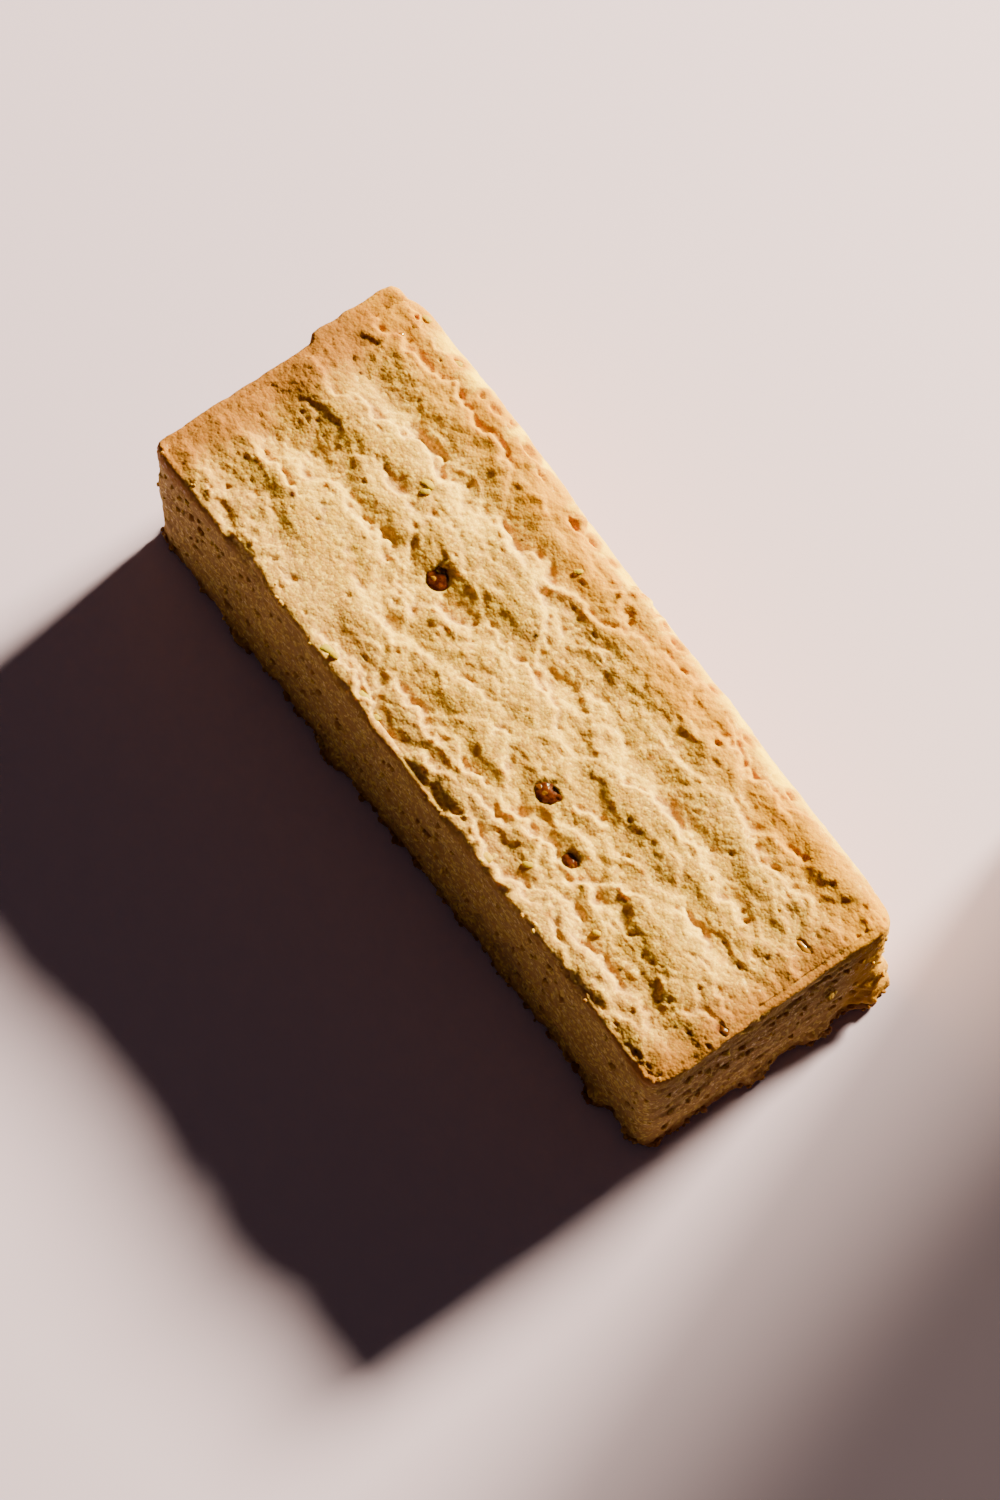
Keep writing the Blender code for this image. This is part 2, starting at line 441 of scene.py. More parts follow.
places = get_places(finger)
for side, radius in ((1, SLAB_RIM_RADIUS), (-1, CUT_RIM_RADIUS)):
    x, y, z = places.T
    edge_y, edge_z = half_width(x) - radius, thickness(x) - radius
    new_y, new_z = rounded(side * y - edge_y, z - edge_z, radius)
    places[:, 1] = np.where(side * y > 0, side * (new_y + edge_y), y)
    places[:, 2] = np.where(side * y > 0, new_z + edge_z, z)
for side in (1, -1):
    x, y, z = places.T
    edge_x, edge_z = LENGTH / 2 - END_RIM_RADIUS, thickness(x) - END_RIM_RADIUS
    new_x, new_z = rounded(side * x - edge_x, z - edge_z, END_RIM_RADIUS)
    places[:, 0] = np.where(side * x > 0, side * (new_x + edge_x), x)
    places[:, 2] = np.where(side * x > 0, new_z + edge_z, z)
put_places(finger, places)

edit_faces(finger, lambda place, normal: normal.z > 0.3)
bpy.ops.mesh.subdivide(number_cuts=1)
bpy.ops.object.mode_set(mode="OBJECT")
print("skin has", len(finger.data.polygons), "faces after the top is divided")

# %% [markdown]
# ## The torn top
#
# As the dough set, its top tore into creases that run lengthwise. Each has a ragged lip, a drop just
# past the lip, and a floor that climbs gently back. The largest are placed one by one, from the end of
# each lip to its other end, with how deep it drops and how far it runs before it is level again. Many
# smaller tears of the same kind fill the ground between them by a seeded random draw.
#
# A Displace modifier could push the skin by a texture, but not along lips that each have their own
# place, so the depth is worked out in code and the vertices are moved by it, as a sculptor would.

# %% Tears in the top
# Each is (x0, y0, x1, y1, depth, run): the lip goes from (x0, y0) to (x1, y1).
TEARS = [
    (-30.5, -4.3, -15.5, -4.6, 1.00, 3.6),
    (-34.5, -6.4, -28.8, -7.6, 0.80, 2.2),
    (-14.8, 5.1, -8.4, 5.5, 0.90, 3.0),
    (-27.0, 4.6, -22.8, 4.3, 0.70, 1.3),
    (-22.0, 6.0, -16.4, 4.5, 0.60, 2.2),
    (-21.0, 2.6, -16.8, 2.5, 0.40, 1.0),
    (-13.5, -2.6, -7.6, -3.2, 0.80, 2.6),
    (-5.0, -1.4, 0.6, -1.9, 0.60, 2.0),
    (-12.0, -7.3, -5.8, -7.4, 0.45, 1.8),
    (-8.4, 7.8, -6.0, 6.2, 0.90, 1.1),
    (-8.6, 5.3, -3.5, 5.6, 0.40, 1.2),
    (-28.2, -10.0, -25.0, -11.5, 0.50, 1.0),
    (0.4, 6.2, 5.6, 6.6, 0.75, 2.6),
    (6.0, 5.0, 9.6, 5.9, 0.60, 2.0),
    (9.4, 6.3, 15.0, 6.2, 0.55, 2.0),
    (17.8, 5.4, 21.8, 4.7, 0.85, 1.8),
    (15.5, 4.4, 24.0, 4.0, 0.40, 1.0),
    (9.0, 1.2, 15.2, 0.9, 0.38, 0.9),
    (5.0, -0.5, 9.4, -0.6, 0.35, 1.0),
    (11.2, -3.5, 16.2, -4.4, 0.90, 2.6),
    (13.4, -9.2, 24.4, -7.9, 0.80, 2.2),
    (-2.4, -13.3, 10.8, -10.3, 1.15, 4.0),
    (0.0, -8.8, 3.6, -9.3, 0.60, 1.5),
    (20.0, -12.9, 26.2, -13.3, 0.60, 1.0),
    (20.0, 3.2, 29.2, 2.6, 0.32, 2.0),
    (29.0, -5.4, 31.8, -4.9, 0.35, 0.9),
    (33.2, -4.8, 35.4, -4.7, 0.35, 0.8),
    (30.2, 5.0, 33.6, 4.9, 0.45, 1.2),
    (-34.6, 0.7, -33.0, 0.8, 0.40, 0.8),
    (-36.8, 2.7, -35.2, 2.8, 0.45, 0.8),
]


def strewn_tears(count, reach_x, reach_y, long, deep, seed):
    """Draws small tears over the top, most of them small, in the same form as the placed ones."""
    draw = random.Random(seed)
    tears = []
    for _ in range(count):
        size = draw.random() ** 1.6
        half = (long[0] + (long[1] - long[0]) * size) / 2
        depth = (deep[0] + (deep[1] - deep[0]) * size) * draw.uniform(0.7, 1.3)
        x, y, turn = draw.uniform(-reach_x, reach_x), draw.uniform(*reach_y), draw.gauss(-0.05, 0.28)
        run = depth * draw.uniform(4.5, 8.0)
        dx, dy = half * math.cos(turn), half * math.sin(turn)
        tears.append((x - dx, y - dy, x + dx, y + dy, depth, run))
    return tears


SMALL_TEARS = strewn_tears(240, 35.0, (-13.2, 12.6), (1.0, 4.0), (0.05, 0.19), 21)
SMALL_TEARS += strewn_tears(60, 33.0, (-12.6, 12.0), (2.5, 6.5), (0.16, 0.32), 22)
print(len(TEARS), "placed tears and", len(SMALL_TEARS), "strewn ones")


def jostled(places, reaches, seed):
    """Places shifted at random, so that what is worked out at them gets a ragged outline.

    Each of reaches is (size, reach): shifts that change over size millimetres and reach that far."""
    moved = places.copy()
    for size, reach in reaches:
        scaled = (places / size + seed).tolist()
        moved += reach * np.array([noise.noise_vector(place)[:] for place in scaled])
    return moved


def lumps(places, size, seed):
    """Rounded lumps of about this size that meet in creases: 1 on their crowns, 0 in the creases."""
    scaled = (places / np.array(size, float) + seed).tolist()
    nearest = np.array([noise.voronoi(place)[0][0] for place in scaled])
    return 1.0 - np.clip(nearest, 0.0, 1.0) ** 1.5 * 1.6


def tear_depths(places, tears, drop_run):
    """How far tears lower the top at each place."""
    x, y, z = places.T
    depths = np.zeros(len(places))
    for x0, y0, x1, y1, depth, run in tears:
        span = math.hypot(x1 - x0, y1 - y0)
        dx, dy = (x1 - x0) / span, (y1 - y0) / span
        fall = drop_run * min(1.0, depth / 0.6)
        close_x = np.abs(x - (x0 + x1) / 2) < span / 2 + 1.0
        close_y = np.abs(y - (y0 + y1) / 2) < span / 2 + run + 2.0
        near = np.nonzero(close_x & close_y)[0]
        along = ((x[near] - x0) * dx + (y[near] - y0) * dy) / span
        across = dx * (y[near] - y0) - dy * (x[near] - x0)
        taper = min(0.35, 1.6 / span)
        fade = smooth(-0.12, taper, along) * smooth(1.12, 1.0 - taper, along)
        # The lip bows, so that its middle stands further from the run than its ends.
        across = across + 0.35 * run * (1.0 - fade) - fall / 2
        drop = smooth(-fall / 2, fall / 2, across) * np.clip(1.0 - across / run, 0.0, 1.0) ** 1.3
        # The lip itself stands a little proud, because the crumb was pushed up there.
        rise = 0.42 * np.exp(-np.abs(across + fall / 2) / (0.6 + 0.5 * depth))
        rise = rise * (1.0 - smooth(-fall / 2, 0.3 * fall, across))
        depths[near] += fade * depth * (drop - rise)
    return depths


# %% [markdown]
# ## Pores
#
# Air and steam left small pores, longer than wide, as the crumb was pulled lengthwise. Near both ends,
# where the top baked harder, they are finer and closer together. Pores are strewn by a seeded random
# draw, and each one lowers the skin inside its own small oval. The same helper opens the pockets in
# the top where bits of sugar melted.

# %% Pores and pockets
def strewn_pits(count, reach_a, reach_b, long, wide, seed):
    """Draws pits over a face, each as (a, b, half length, half width, depth)."""
    draw = random.Random(seed)
    pits = []
    for _ in range(count):
        size = draw.random() ** 1.8
        half_long = long[0] + (long[1] - long[0]) * size
        half_wide = wide[0] + (wide[1] - wide[0]) * draw.random() * (0.4 + 0.6 * size)
        place = draw.uniform(-reach_a, reach_a), draw.uniform(*reach_b)
        pits.append((*place, half_long, half_wide, half_wide * draw.uniform(0.9, 1.5)))
    return pits


def pit_depths(a, b, pits, ragged):
    """How far the pits lower a face at its own coordinates a and b."""
    depths = np.zeros(len(a))
    for pit_a, pit_b, half_long, half_wide, depth in pits:
        near = np.nonzero((np.abs(a - pit_a) < 1.4 * half_long) & (np.abs(b - pit_b) < 1.4 * half_wide))[0]
        away = np.hypot((a[near] - pit_a) / half_long, (b[near] - pit_b) / half_wide) + ragged[near]
        depths[near] = np.maximum(depths[near], depth * smooth(1.0, 0.35, away))
    return depths


# Pockets of melted sugar: (x, y, half length, half width, depth).
POCKETS = [
    (-12.25, -0.95, 1.40, 1.35, 0.45),
    (10.15, -5.15, 1.65, 1.25, 0.45),
    (16.35, -7.20, 1.20, 0.90, 0.40),
    (36.45, -5.70, 0.80, 0.60, 0.20),
    (34.60, 4.75, 1.20, 0.50, 0.20),
]
# Hollows along the rounded rim: (x, y, half length, half width, depth).
RIM_PITS = [
    (-34.5, 12.6, 0.50, 0.30, 0.30),
    (-28.6, 13.0, 0.90, 0.32, 0.32),
    (-24.5, 12.6, 0.60, 0.30, 0.26),
    (-22.6, 12.7, 0.95, 0.40, 0.36),
    (-20.8, 13.2, 0.45, 0.30, 0.28),
    (-17.6, 12.9, 1.30, 0.45, 0.40),
    (-15.0, 12.4, 0.80, 0.35, 0.30),
    (-9.4, 12.2, 1.10, 0.45, 0.36),
    (-7.3, 12.9, 0.70, 0.36, 0.34),
    (-4.6, 13.2, 0.60, 0.30, 0.26),
    (-0.6, 13.1, 0.75, 0.36, 0.32),
    (1.6, 13.0, 0.60, 0.32, 0.28),
    (3.2, 12.9, 0.60, 0.34, 0.30),
    (5.2, 12.6, 1.05, 0.46, 0.42),
    (10.5, 12.9, 0.60, 0.30, 0.26),
    (16.0, 12.8, 0.80, 0.30, 0.26),
    (22.5, 12.6, 0.60, 0.30, 0.26),
]
TOP_PITS = strewn_pits(170, 37.0, (-13.6, 13.6), (0.22, 0.60), (0.14, 0.28), 11)
FINE_PITS = strewn_pits(1300, 37.4, (-13.6, 13.0), (0.16, 0.36), (0.13, 0.24), 12)
TOP_PITS += [pit for pit in FINE_PITS if abs(pit[0]) > 29.0]
print(len(TOP_PITS), "pores in the top")

# %% [markdown]
# ## Lobes, and crumb that settles
#
# Between the tears, the crumb rose in overlapping lobes, like fish scales. Each lobe climbs gently
# towards +Y and ends in a steep, rounded lip. A Voronoi pattern has one cell for each lobe, so a lobe's
# height is how far a place lies towards +Y from the middle of its cell.
#
# Moist crumb doesn't stand in steep walls on both sides of a tear: on the gentle side it settles to a
# slope of its own. That is easiest to work out on an even grid of heights, row by row, so the relief of
# the top is made on such a grid first and then read off at every vertex.

# %% Helpers for the grid of heights
GRID_STEP = 0.16
SETTLED_SLOPE = 0.31
CEILING = 0.52
SOFTNESS = 0.10
grid_x = np.arange(-39.6, 39.6, GRID_STEP)
grid_y = np.arange(-16.0, 16.0, GRID_STEP)


def lobes(places, size, seed):
    """Lobes of this size that each rise towards +Y, from 0 up to between 0.3 and 1 at their lips."""
    scaled = places / np.array(size, float) + seed
    heights = []
    for place in scaled.tolist():
        centre = noise.voronoi(place)[1][0]
        heights.append((place[1] - centre[1], noise.cell(7.3 * centre)))
    climb, own = np.array(heights).T
    return np.clip(0.5 + 0.75 * climb, 0.0, 1.0) * (0.3 + 0.7 * own)


def settle(heights):
    """Lets crumb fill the side of each lip that looks towards -Y, up to the settled slope."""
    settled = heights.copy()
    fall = SETTLED_SLOPE * GRID_STEP
    for row in range(len(heights) - 2, -1, -1):
        above = settled[row + 1]
        beside = np.maximum(np.roll(above, 1), np.roll(above, -1)) - 1.25 * fall
        settled[row] = np.maximum(settled[row], np.maximum(above - fall, beside))
    return settled


def soften(grid, reach):
    """Evens out a grid over a reach in millimetres."""
    weights = np.exp(-0.5 * (np.arange(-3 * reach, 3 * reach + 0.01, GRID_STEP) / reach) ** 2)
    weights /= weights.sum()
    for axis in (0, 1):
        grid = np.apply_along_axis(lambda line: np.convolve(line, weights, "same"), axis, grid)
    return grid


def read_grid(grid, places):
    """The grid's value at each place, evenly blended between its four nearest points."""
    column = np.clip((places[:, 0] - grid_x[0]) / GRID_STEP, 0, len(grid_x) - 1.001)
    row = np.clip((places[:, 1] - grid_y[0]) / GRID_STEP, 0, len(grid_y) - 1.001)
    i, j = column.astype(int), row.astype(int)
    right, up = column - i, row - j
    low_row = grid[j, i] * (1 - right) + grid[j, i + 1] * right
    high_row = grid[j + 1, i] * (1 - right) + grid[j + 1, i + 1] * right
    return low_row * (1 - up) + high_row * up


# %% Make the relief of the top
across, along = np.meshgrid(grid_x, grid_y)
spots_on_top = np.column_stack((across.ravel(), along.ravel(), np.full(across.size, THICKNESS)))
from_middle = np.abs(spots_on_top[:, 0])
calm = 1.0 - 0.5 * smooth(31.0, 36.0, from_middle) - 0.3 * smooth(35.5, 37.2, from_middle)
torn = jostled(spots_on_top, ((3.0, 1.1), (1.4, 0.9), (0.7, 0.5)), 3.0)
knobbly = jostled(spots_on_top, ((1.0, 0.55), (0.5, 0.20)), 7.0)
large = tear_depths(torn, TEARS, 1.0)
small = tear_depths(torn, SMALL_TEARS, 0.7)
heights = 0.55 * ripple(spots_on_top, (16.0, 7.0, 20.0), 1.0)
heights += 1.05 * calm * ripple(spots_on_top, (12.0, 4.0, 20.0), 2.0)
heights += calm * (1.25 * lobes(torn, (9.0, 3.3, 9.0), 5.0) + 0.55 * lobes(torn, (4.0, 1.8, 9.0), 6.0))
big_lumps, small_lumps = lumps(knobbly, (3.4, 1.7, 9.0), 44.0), lumps(knobbly, (1.7, 1.0, 9.0), 45.0)
heights += calm * (0.28 * big_lumps + 0.14 * small_lumps)
heights -= 0.70 * large + 0.62 * small * calm
heights -= 0.30 * smooth(-12.2, -13.8, spots_on_top[:, 1]) + 0.2 * smooth(36.0, 37.4, from_middle)
heights = heights.reshape(across.shape)
heights = 0.6 * settle(heights) + 0.4 * heights
heights = soften(heights, 0.09)
broken = 0.12 * ripple(spots_on_top, 2.6, 4.0) + 0.05 * ripple(spots_on_top, 0.7, 3.0)
below = soften(heights, 0.55) - heights + broken.reshape(across.shape)
heights -= 0.17 * smooth(0.11, 0.24, below)
crease_grid = smooth(0.10, 0.24, below)
slope_y = np.gradient(heights, GRID_STEP, axis=0)
# Slopes that face +Y, towards the lamp, get a painted highlight.
lip_grid = soften(smooth(0.10, 0.50, -slope_y), 0.40)
print("creases cover", round(float(crease_grid.mean()), 3), "of the top")
# The middle of the relief is the plain level, and no lump rises far above the ceiling.
heights = 0.9 * (heights - np.median(heights))
heights = CEILING - SOFTNESS * np.logaddexp(0.0, (CEILING - heights) / SOFTNESS)
print("top relief from", round(heights.min(), 2), "to", round(heights.max(), 2), "mm")
print("slopes at 10, 50 and 90 %:", np.percentile(slope_y[20:-20, 30:-30], (10, 50, 90)).round(2))


def top_relief(places):
    """How far the top lies below its plain level at each place, and how much painted shade and painted
    highlight it gets.
    """
    x, y, z = places.T
    ragged = 0.28 * ripple(places, 0.45, 8.0)
    pores = 0.7 * pit_depths(x, y, TOP_PITS, ragged)
    pockets = pit_depths(x, y, POCKETS, ragged) + 1.5 * pit_depths(x, y, RIM_PITS, ragged)
    depth = pores + pockets - read_grid(heights, places)
    # Painted shade: pores, pockets, creases and a band near the cut side get a darker, bluer tint.
    painted_crease_shade = read_grid(crease_grid, places) + 2.5 * pores + 0.4 * pockets + 0.45 * smooth(-8.5, -11.5, y)
    # Painted highlight: lips that face the lamp are paler, less so in a band near the cut side.
    painted_highlight_and_crust_band = 1.5 * read_grid(lip_grid, places) * (1.0 - 0.5 * smooth(-8.0, -11.0, y))
    return depth, np.clip(painted_crease_shade, 0.0, 1.0), np.clip(painted_highlight_and_crust_band, 0.0, 1.0)


# %% [markdown]
# ## The sides
#
# The cut side and both ends show the inside of the crumb: fine pores in faint level layers, with a few
# larger pits. The side that was the slab's rim is smoother, because it baked against the tin. At the
# foot, the browned crust broke ragged, and a few crumbs stand out of it.

# %% Relief of the sides
# Pits of the long cut side: (x, z, half length, half height, depth).
CUT_SIDE_PITS = [
    (6.5, 11.8, 0.95, 0.75, 0.65),
    (10.2, 10.2, 0.45, 0.55, 0.45),
    (-17.5, 4.5, 0.70, 0.65, 0.60),
    (-15.2, 4.6, 0.45, 0.45, 0.45),
    (-10.5, 4.8, 0.45, 0.75, 0.50),
    (-20.8, 11.6, 0.45, 0.75, 0.50),
    (-20.9, 15.7, 0.50, 0.40, 0.40),
    (9.3, 3.0, 0.45, 1.40, 0.60),
    (-30.4, 9.3, 0.45, 0.60, 0.35),
    (-27.0, 6.2, 0.50, 0.60, 0.35),
    (5.4, 6.2, 0.60, 0.50, 0.35),
    (34.0, 4.6, 0.35, 0.55, 0.35),
    (33.0, 1.2, 0.60, 0.80, 0.60),
]
# Pits of the near end: (y, z, half length, half height, depth).
NEAR_END_PITS = [
    (4.8, 16.3, 1.60, 0.50, 0.85),
    (7.0, 16.3, 0.90, 0.42, 0.60),
    (-2.5, 9.6, 0.50, 0.55, 0.55),
    (-7.8, 8.1, 0.45, 0.35, 0.45),
    (-7.6, 5.6, 0.40, 0.30, 0.45),
    (-5.5, 10.2, 1.60, 0.35, 0.40),
    (-10.6, 13.2, 0.60, 0.35, 0.40),
    (-13.2, 13.0, 0.45, 0.35, 0.35),
    (5.8, 8.6, 0.60, 0.35, 0.40),
    (-1.0, 5.5, 1.50, 0.45, 0.40),
]
# Crumbs that stand out of the foot: (x, y, how far out, how long, how high).
FOOT_CRUMBS = [
    (31.0, -14.0, 1.3, 2.2, 3.2),
    (37.5, 12.0, 1.5, 3.0, 8.0),
    (37.5, 5.6, 1.0, 2.4, 3.4),
    (37.5, -1.6, 0.6, 2.6, 3.0),
    (-24.0, -14.0, 0.6, 2.2, 2.8),
    (-9.0, -14.0, 0.5, 2.4, 2.6),
]
SIDE_PITS = {
    "cut": CUT_SIDE_PITS + strewn_pits(900, 37.0, (0.6, 19.2), (0.22, 0.60), (0.14, 0.30), 13),
    "slab": strewn_pits(520, 37.0, (0.6, 17.0), (0.18, 0.50), (0.14, 0.28), 14),
    "near": NEAR_END_PITS + strewn_pits(330, 13.6, (0.6, 18.2), (0.25, 0.85), (0.13, 0.28), 15),
    "far": strewn_pits(330, 13.6, (0.6, 19.0), (0.25, 0.85), (0.13, 0.28), 16),
}
# How far the level layers stand out of each side.
STREAKS = {"cut": 0.16, "slab": 0.13, "near": 0.26, "far": 0.24}


def side_relief(places, along, kind, seed):
    """How far a side lies behind its plain level at each place, and how much painted shade it gets there.
    """
    height = places[:, 2]
    layered = np.column_stack((along / 4.5, height / 0.8, 0.0 * height))
    wavy = layered + 0.5 * np.column_stack((0.0 * height, ripple(places, 2.2, seed), 0.0 * height))
    reach = STREAKS[kind]
    streaks = reach * ripple(wavy, 1.0, seed) + 0.5 * reach * ripple(wavy * 2.1, 1.0, seed + 5.0)
    ragged = 0.30 * ripple(places, 0.6, seed + 1.0)
    pores = pit_depths(along, height, SIDE_PITS[kind], ragged)
    waves = 0.24 * ripple(places, (7.0, 7.0, 4.0), seed + 2.0)
    depth = pores + streaks + waves
    # Painted shade: pores and the sunken streaks get the same darker tint.
    painted_crease_shade = 1.7 * pores + 1.6 * np.maximum(streaks - 0.02, 0.0)
    return depth, np.clip(painted_crease_shade, 0.0, 1.0)


# Places where the cut side tore off below a point: (x and z of the point, x to the left, x to the right).
TORN_PATCHES = [
    (17.2, 11.6, 14.3, 19.9),
    (12.7, 7.8, 11.0, 14.4),
    (24.0, 4.6, 21.8, 26.6),
]


def torn_patches(places):
    """How far the torn patches of the cut side lie behind it: each is widest at its foot."""
    coarse_shift = 0.5 * ripple(places, 1.0, 121.0)[:, None]
    fine_shift = 0.25 * ripple(places, 0.5, 122.0)[:, None]
    x, y, z = (places + coarse_shift + fine_shift).T
    depths = np.zeros(len(places))
    for point_x, point_z, left, right in TORN_PATCHES:
        share = np.clip((point_z - z) / (point_z - 4.5), 0.0, 1.0)
        start, end = point_x + (left - point_x) * share, point_x + (right - point_x) * share
        inside = smooth(0.0, 0.5, x - start) * smooth(0.0, 0.5, end - x) * smooth(1.4, 4.0, z)
        depths = np.maximum(depths, 0.6 * inside)
    return depths


def foot_reach(places):
    """How far the ragged foot stands out of the sides at each place."""
    x, y, z = places.T
    reach = 0.15 * (1.0 + ripple(places * (1, 1, 0), 2.4, 9.0)) * smooth(2.0, 0.6, z)
    ragged = 0.22 * ripple(places, 1.5, 51.0) + 0.20 * ripple(places, 0.8, 52.0)
    reach += ragged * smooth(2.2, 0.9, z)
    for crumb_x, crumb_y, out, long, tall in FOOT_CRUMBS:
        away = np.hypot(x - crumb_x, y - crumb_y) / long + 0.3 * ripple(places, 1.2, 54.0)
        lumpy = 0.75 + 0.6 * ripple(places, 0.9, 53.0)
        height = z + 0.8 * ripple(places, 1.0, 55.0)
        reach += out * smooth(1.0, 0.2, away) * smooth(tall, 0.35 * tall, height) * lumpy
    return reach - 0.30 * smooth(0.7, 0.0, z)


def end_step(places):
    """Two cuts met at the far end and left a step in it, on the slab side."""
    x, y, z = places.T
    step = 0.45 + 0.75 * smooth(2.8, 3.8, y) * smooth(14.0, 12.0, y)
    return step * smooth(-36.6, -37.4, x)


def edge_notches(places):
    """Small bites out of the crisp upper edge of the cut side."""
    level = thickness(places[:, 0]) - places[:, 2]
    bites = smooth(0.1, 0.5, ripple(places * (1, 0, 0.3), 3.4, 61.0)) * 0.75
    bites += smooth(0.0, 0.5, ripple(places * (1, 0, 0.6), 1.6, 62.0)) * 0.15
    return 0.8 * bites * smooth(2.2, 0.3, level) * (1.0 - 0.9 * smooth(28.0, 33.0, np.abs(places[:, 0])))


# %% Sculpt the large relief
places, normals = get_places(finger), get_normals(finger)
x, y, z = places.T
facing = {
    "top": np.clip(1.3 * normals[:, 2], 0.0, 1.0) ** 2,
    "cut": np.maximum(-normals[:, 1], 0.0) ** 2,
    "slab": np.maximum(normals[:, 1], 0.0) ** 2,
    "near": np.maximum(normals[:, 0], 0.0) ** 2,
    "far": np.maximum(-normals[:, 0], 0.0) ** 2,
}
depth, painted_crease_shade, painted_highlight_and_crust_band = top_relief(places)
depth, painted_crease_shade, painted_highlight_and_crust_band = depth * facing["top"], painted_crease_shade * facing["top"], painted_highlight_and_crust_band * facing["top"]
for kind, along, seed in (("cut", x, 71.0), ("slab", x, 81.0), ("near", y, 91.0), ("far", y, 101.0)):
    side_depth, side_crease_shade = side_relief(places, along, kind, seed)
    if kind == "cut":
        patches = torn_patches(places)
        side_depth = side_depth + edge_notches(places) + patches - 0.3
        side_crease_shade = np.clip(side_crease_shade + 0.5 * patches, 0.0, 1.0)
    depth += side_depth * facing[kind]
    painted_crease_shade += side_crease_shade * facing[kind]
upright = 1.0 - facing["top"]
out = (foot_reach(places) + end_step(places)) * upright - depth
moved = places + normals * out[:, None]
moved[:, 2] = np.where(z < 0.3, z, np.maximum(moved[:, 2], 0.05))
put_places(finger, moved)
print("deepest", round(depth.max(), 2), "mm; highest", round(-depth.min(), 2), "mm")

# %% Sculpt the crumbs
moved, normals = get_places(finger), get_normals(finger)
coarse = lumps(jostled(moved, ((1.0, 0.5),), 6.0), (1.9, 1.4, 1.4), 41.0)
middling = lumps(moved, (1.05, 0.85, 0.85), 42.0)
fine = lumps(moved, 0.55, 43.0)
rough = facing["top"].copy()
for side in ("cut", "slab", "near", "far"):
    rough += 0.9 * facing[side]
rough = np.minimum(rough, 1.0) + 0.8 * smooth(2.0, 0.8, z) * (1.0 - facing["top"])
rough *= 1.0 - 0.3 * facing["top"] * smooth(29.0, 35.0, np.abs(x))
rough *= 1.0 - 0.5 * smooth(1.4, 0.6, y + half_width(x)) * smooth(1.6, 0.6, thickness(x) - z)
crumbs = 0.05 * coarse + 0.04 * middling + 0.04 * fine - 0.06
moved += normals * (rough * crumbs * (0.7 + 0.9 * painted_highlight_and_crust_band))[:, None]
moved[:, 2] = np.where(z < 0.3, z, np.maximum(moved[:, 2], 0.05))
put_places(finger, moved)
sunken = smooth(0.35, -0.1, 0.4 * coarse + 0.4 * middling + 0.2 * fine)
raised = smooth(0.45, 0.9, 0.3 * coarse + 0.4 * middling + 0.3 * fine)
# Painted shade in the crevices between crumbs.
painted_crease_shade = np.clip(painted_crease_shade + 0.35 * sunken * rough, 0.0, 1.0)
# Painted highlight on the crumbs' crowns.
painted_highlight_and_crust_band = np.clip(painted_highlight_and_crust_band + 0.6 * raised * rough, 0.0, 1.0)
print("crumbs from", round(crumbs.min(), 2), "to", round(crumbs.max(), 2), "mm")

# %% Close the underside
edit_edges(finger, lambda one, two: False)
bpy.ops.mesh.select_mode(type="EDGE")
bpy.ops.mesh.select_non_manifold()
bpy.ops.mesh.edge_face_add()
bpy.ops.object.mode_set(mode="OBJECT")
edit_faces(finger, lambda place, normal: False)
bpy.ops.mesh.select_all(action="SELECT")
bpy.ops.mesh.normals_make_consistent(inside=False)
bpy.ops.object.mode_set(mode="OBJECT")
select_only(finger)
bpy.ops.object.shade_smooth()
print("closed finger has", len(finger.data.polygons), "faces")

# %% [markdown]
# ## Where the crumb changes colour
#
# Most of the colour follows how each place baked: the ends and the slab's side below its rim are
# toasted, the foot is dark brown, and a few stains and specks come from sugar that burned. Some of it
# is painted light: creases and pores get a darker, bluer tint as painted shade, lips and crumb crowns
# that face the lamp get a painted highlight, the rounded rim gets a painted glow, and the cut side and
# the ends are darker partly as painted shade. Each of these is stored on the mesh as an attribute, a
# number from 0 to 1 for each vertex, which the material then reads by name.

# %% Patches, stains and specks
# Golden patches on the top: (x, y, radius, strength).
GOLD_PATCHES = [
    (-13.0, 12.3, 3.0, 0.9),
    (-22.6, 12.4, 2.4, 0.6),
    (-5.0, 11.5, 4.0, 0.30),
    (9.0, 11.6, 4.5, 0.40),
    (14.2, 11.0, 2.0, 0.35),
    (26.0, 11.6, 6.0, 0.35),
    (36.2, 12.0, 2.2, 0.7),
    (36.5, 10.0, 1.8, 0.5),
]
# Orange stains on the top: (x, y, radius, strength).
STAINS = [
    (-4.2, 6.9, 0.9, 0.7),
    (-17.6, -7.0, 0.9, 0.6),
    (-16.9, -7.4, 0.7, 0.4),
    (20.9, -2.8, 0.4, 0.8),
    (23.8, 10.0, 0.6, 0.8),
    (26.3, 6.8, 0.45, 0.9),
    (3.4, 10.5, 0.4, 0.8),
    (12.7, 4.3, 0.35, 0.8),
    (19.5, -12.0, 0.5, 0.8),
    (-21.1, -1.7, 0.35, 0.9),
    (-9.2, -1.1, 0.4, 0.6),
    (-33.9, 9.9, 0.8, 1.0),
    (-34.0, 12.0, 0.8, 0.7),
    (-37.0, 8.6, 1.3, 0.8),
    (-37.1, 11.1, 0.5, 0.8),
    (25.3, -7.6, 0.3, 0.7),
    (31.6, -2.0, 0.5, 0.6),
    (30.3, 1.7, 0.3, 0.7),
    (-6.2, -7.7, 0.5, 0.5),
]
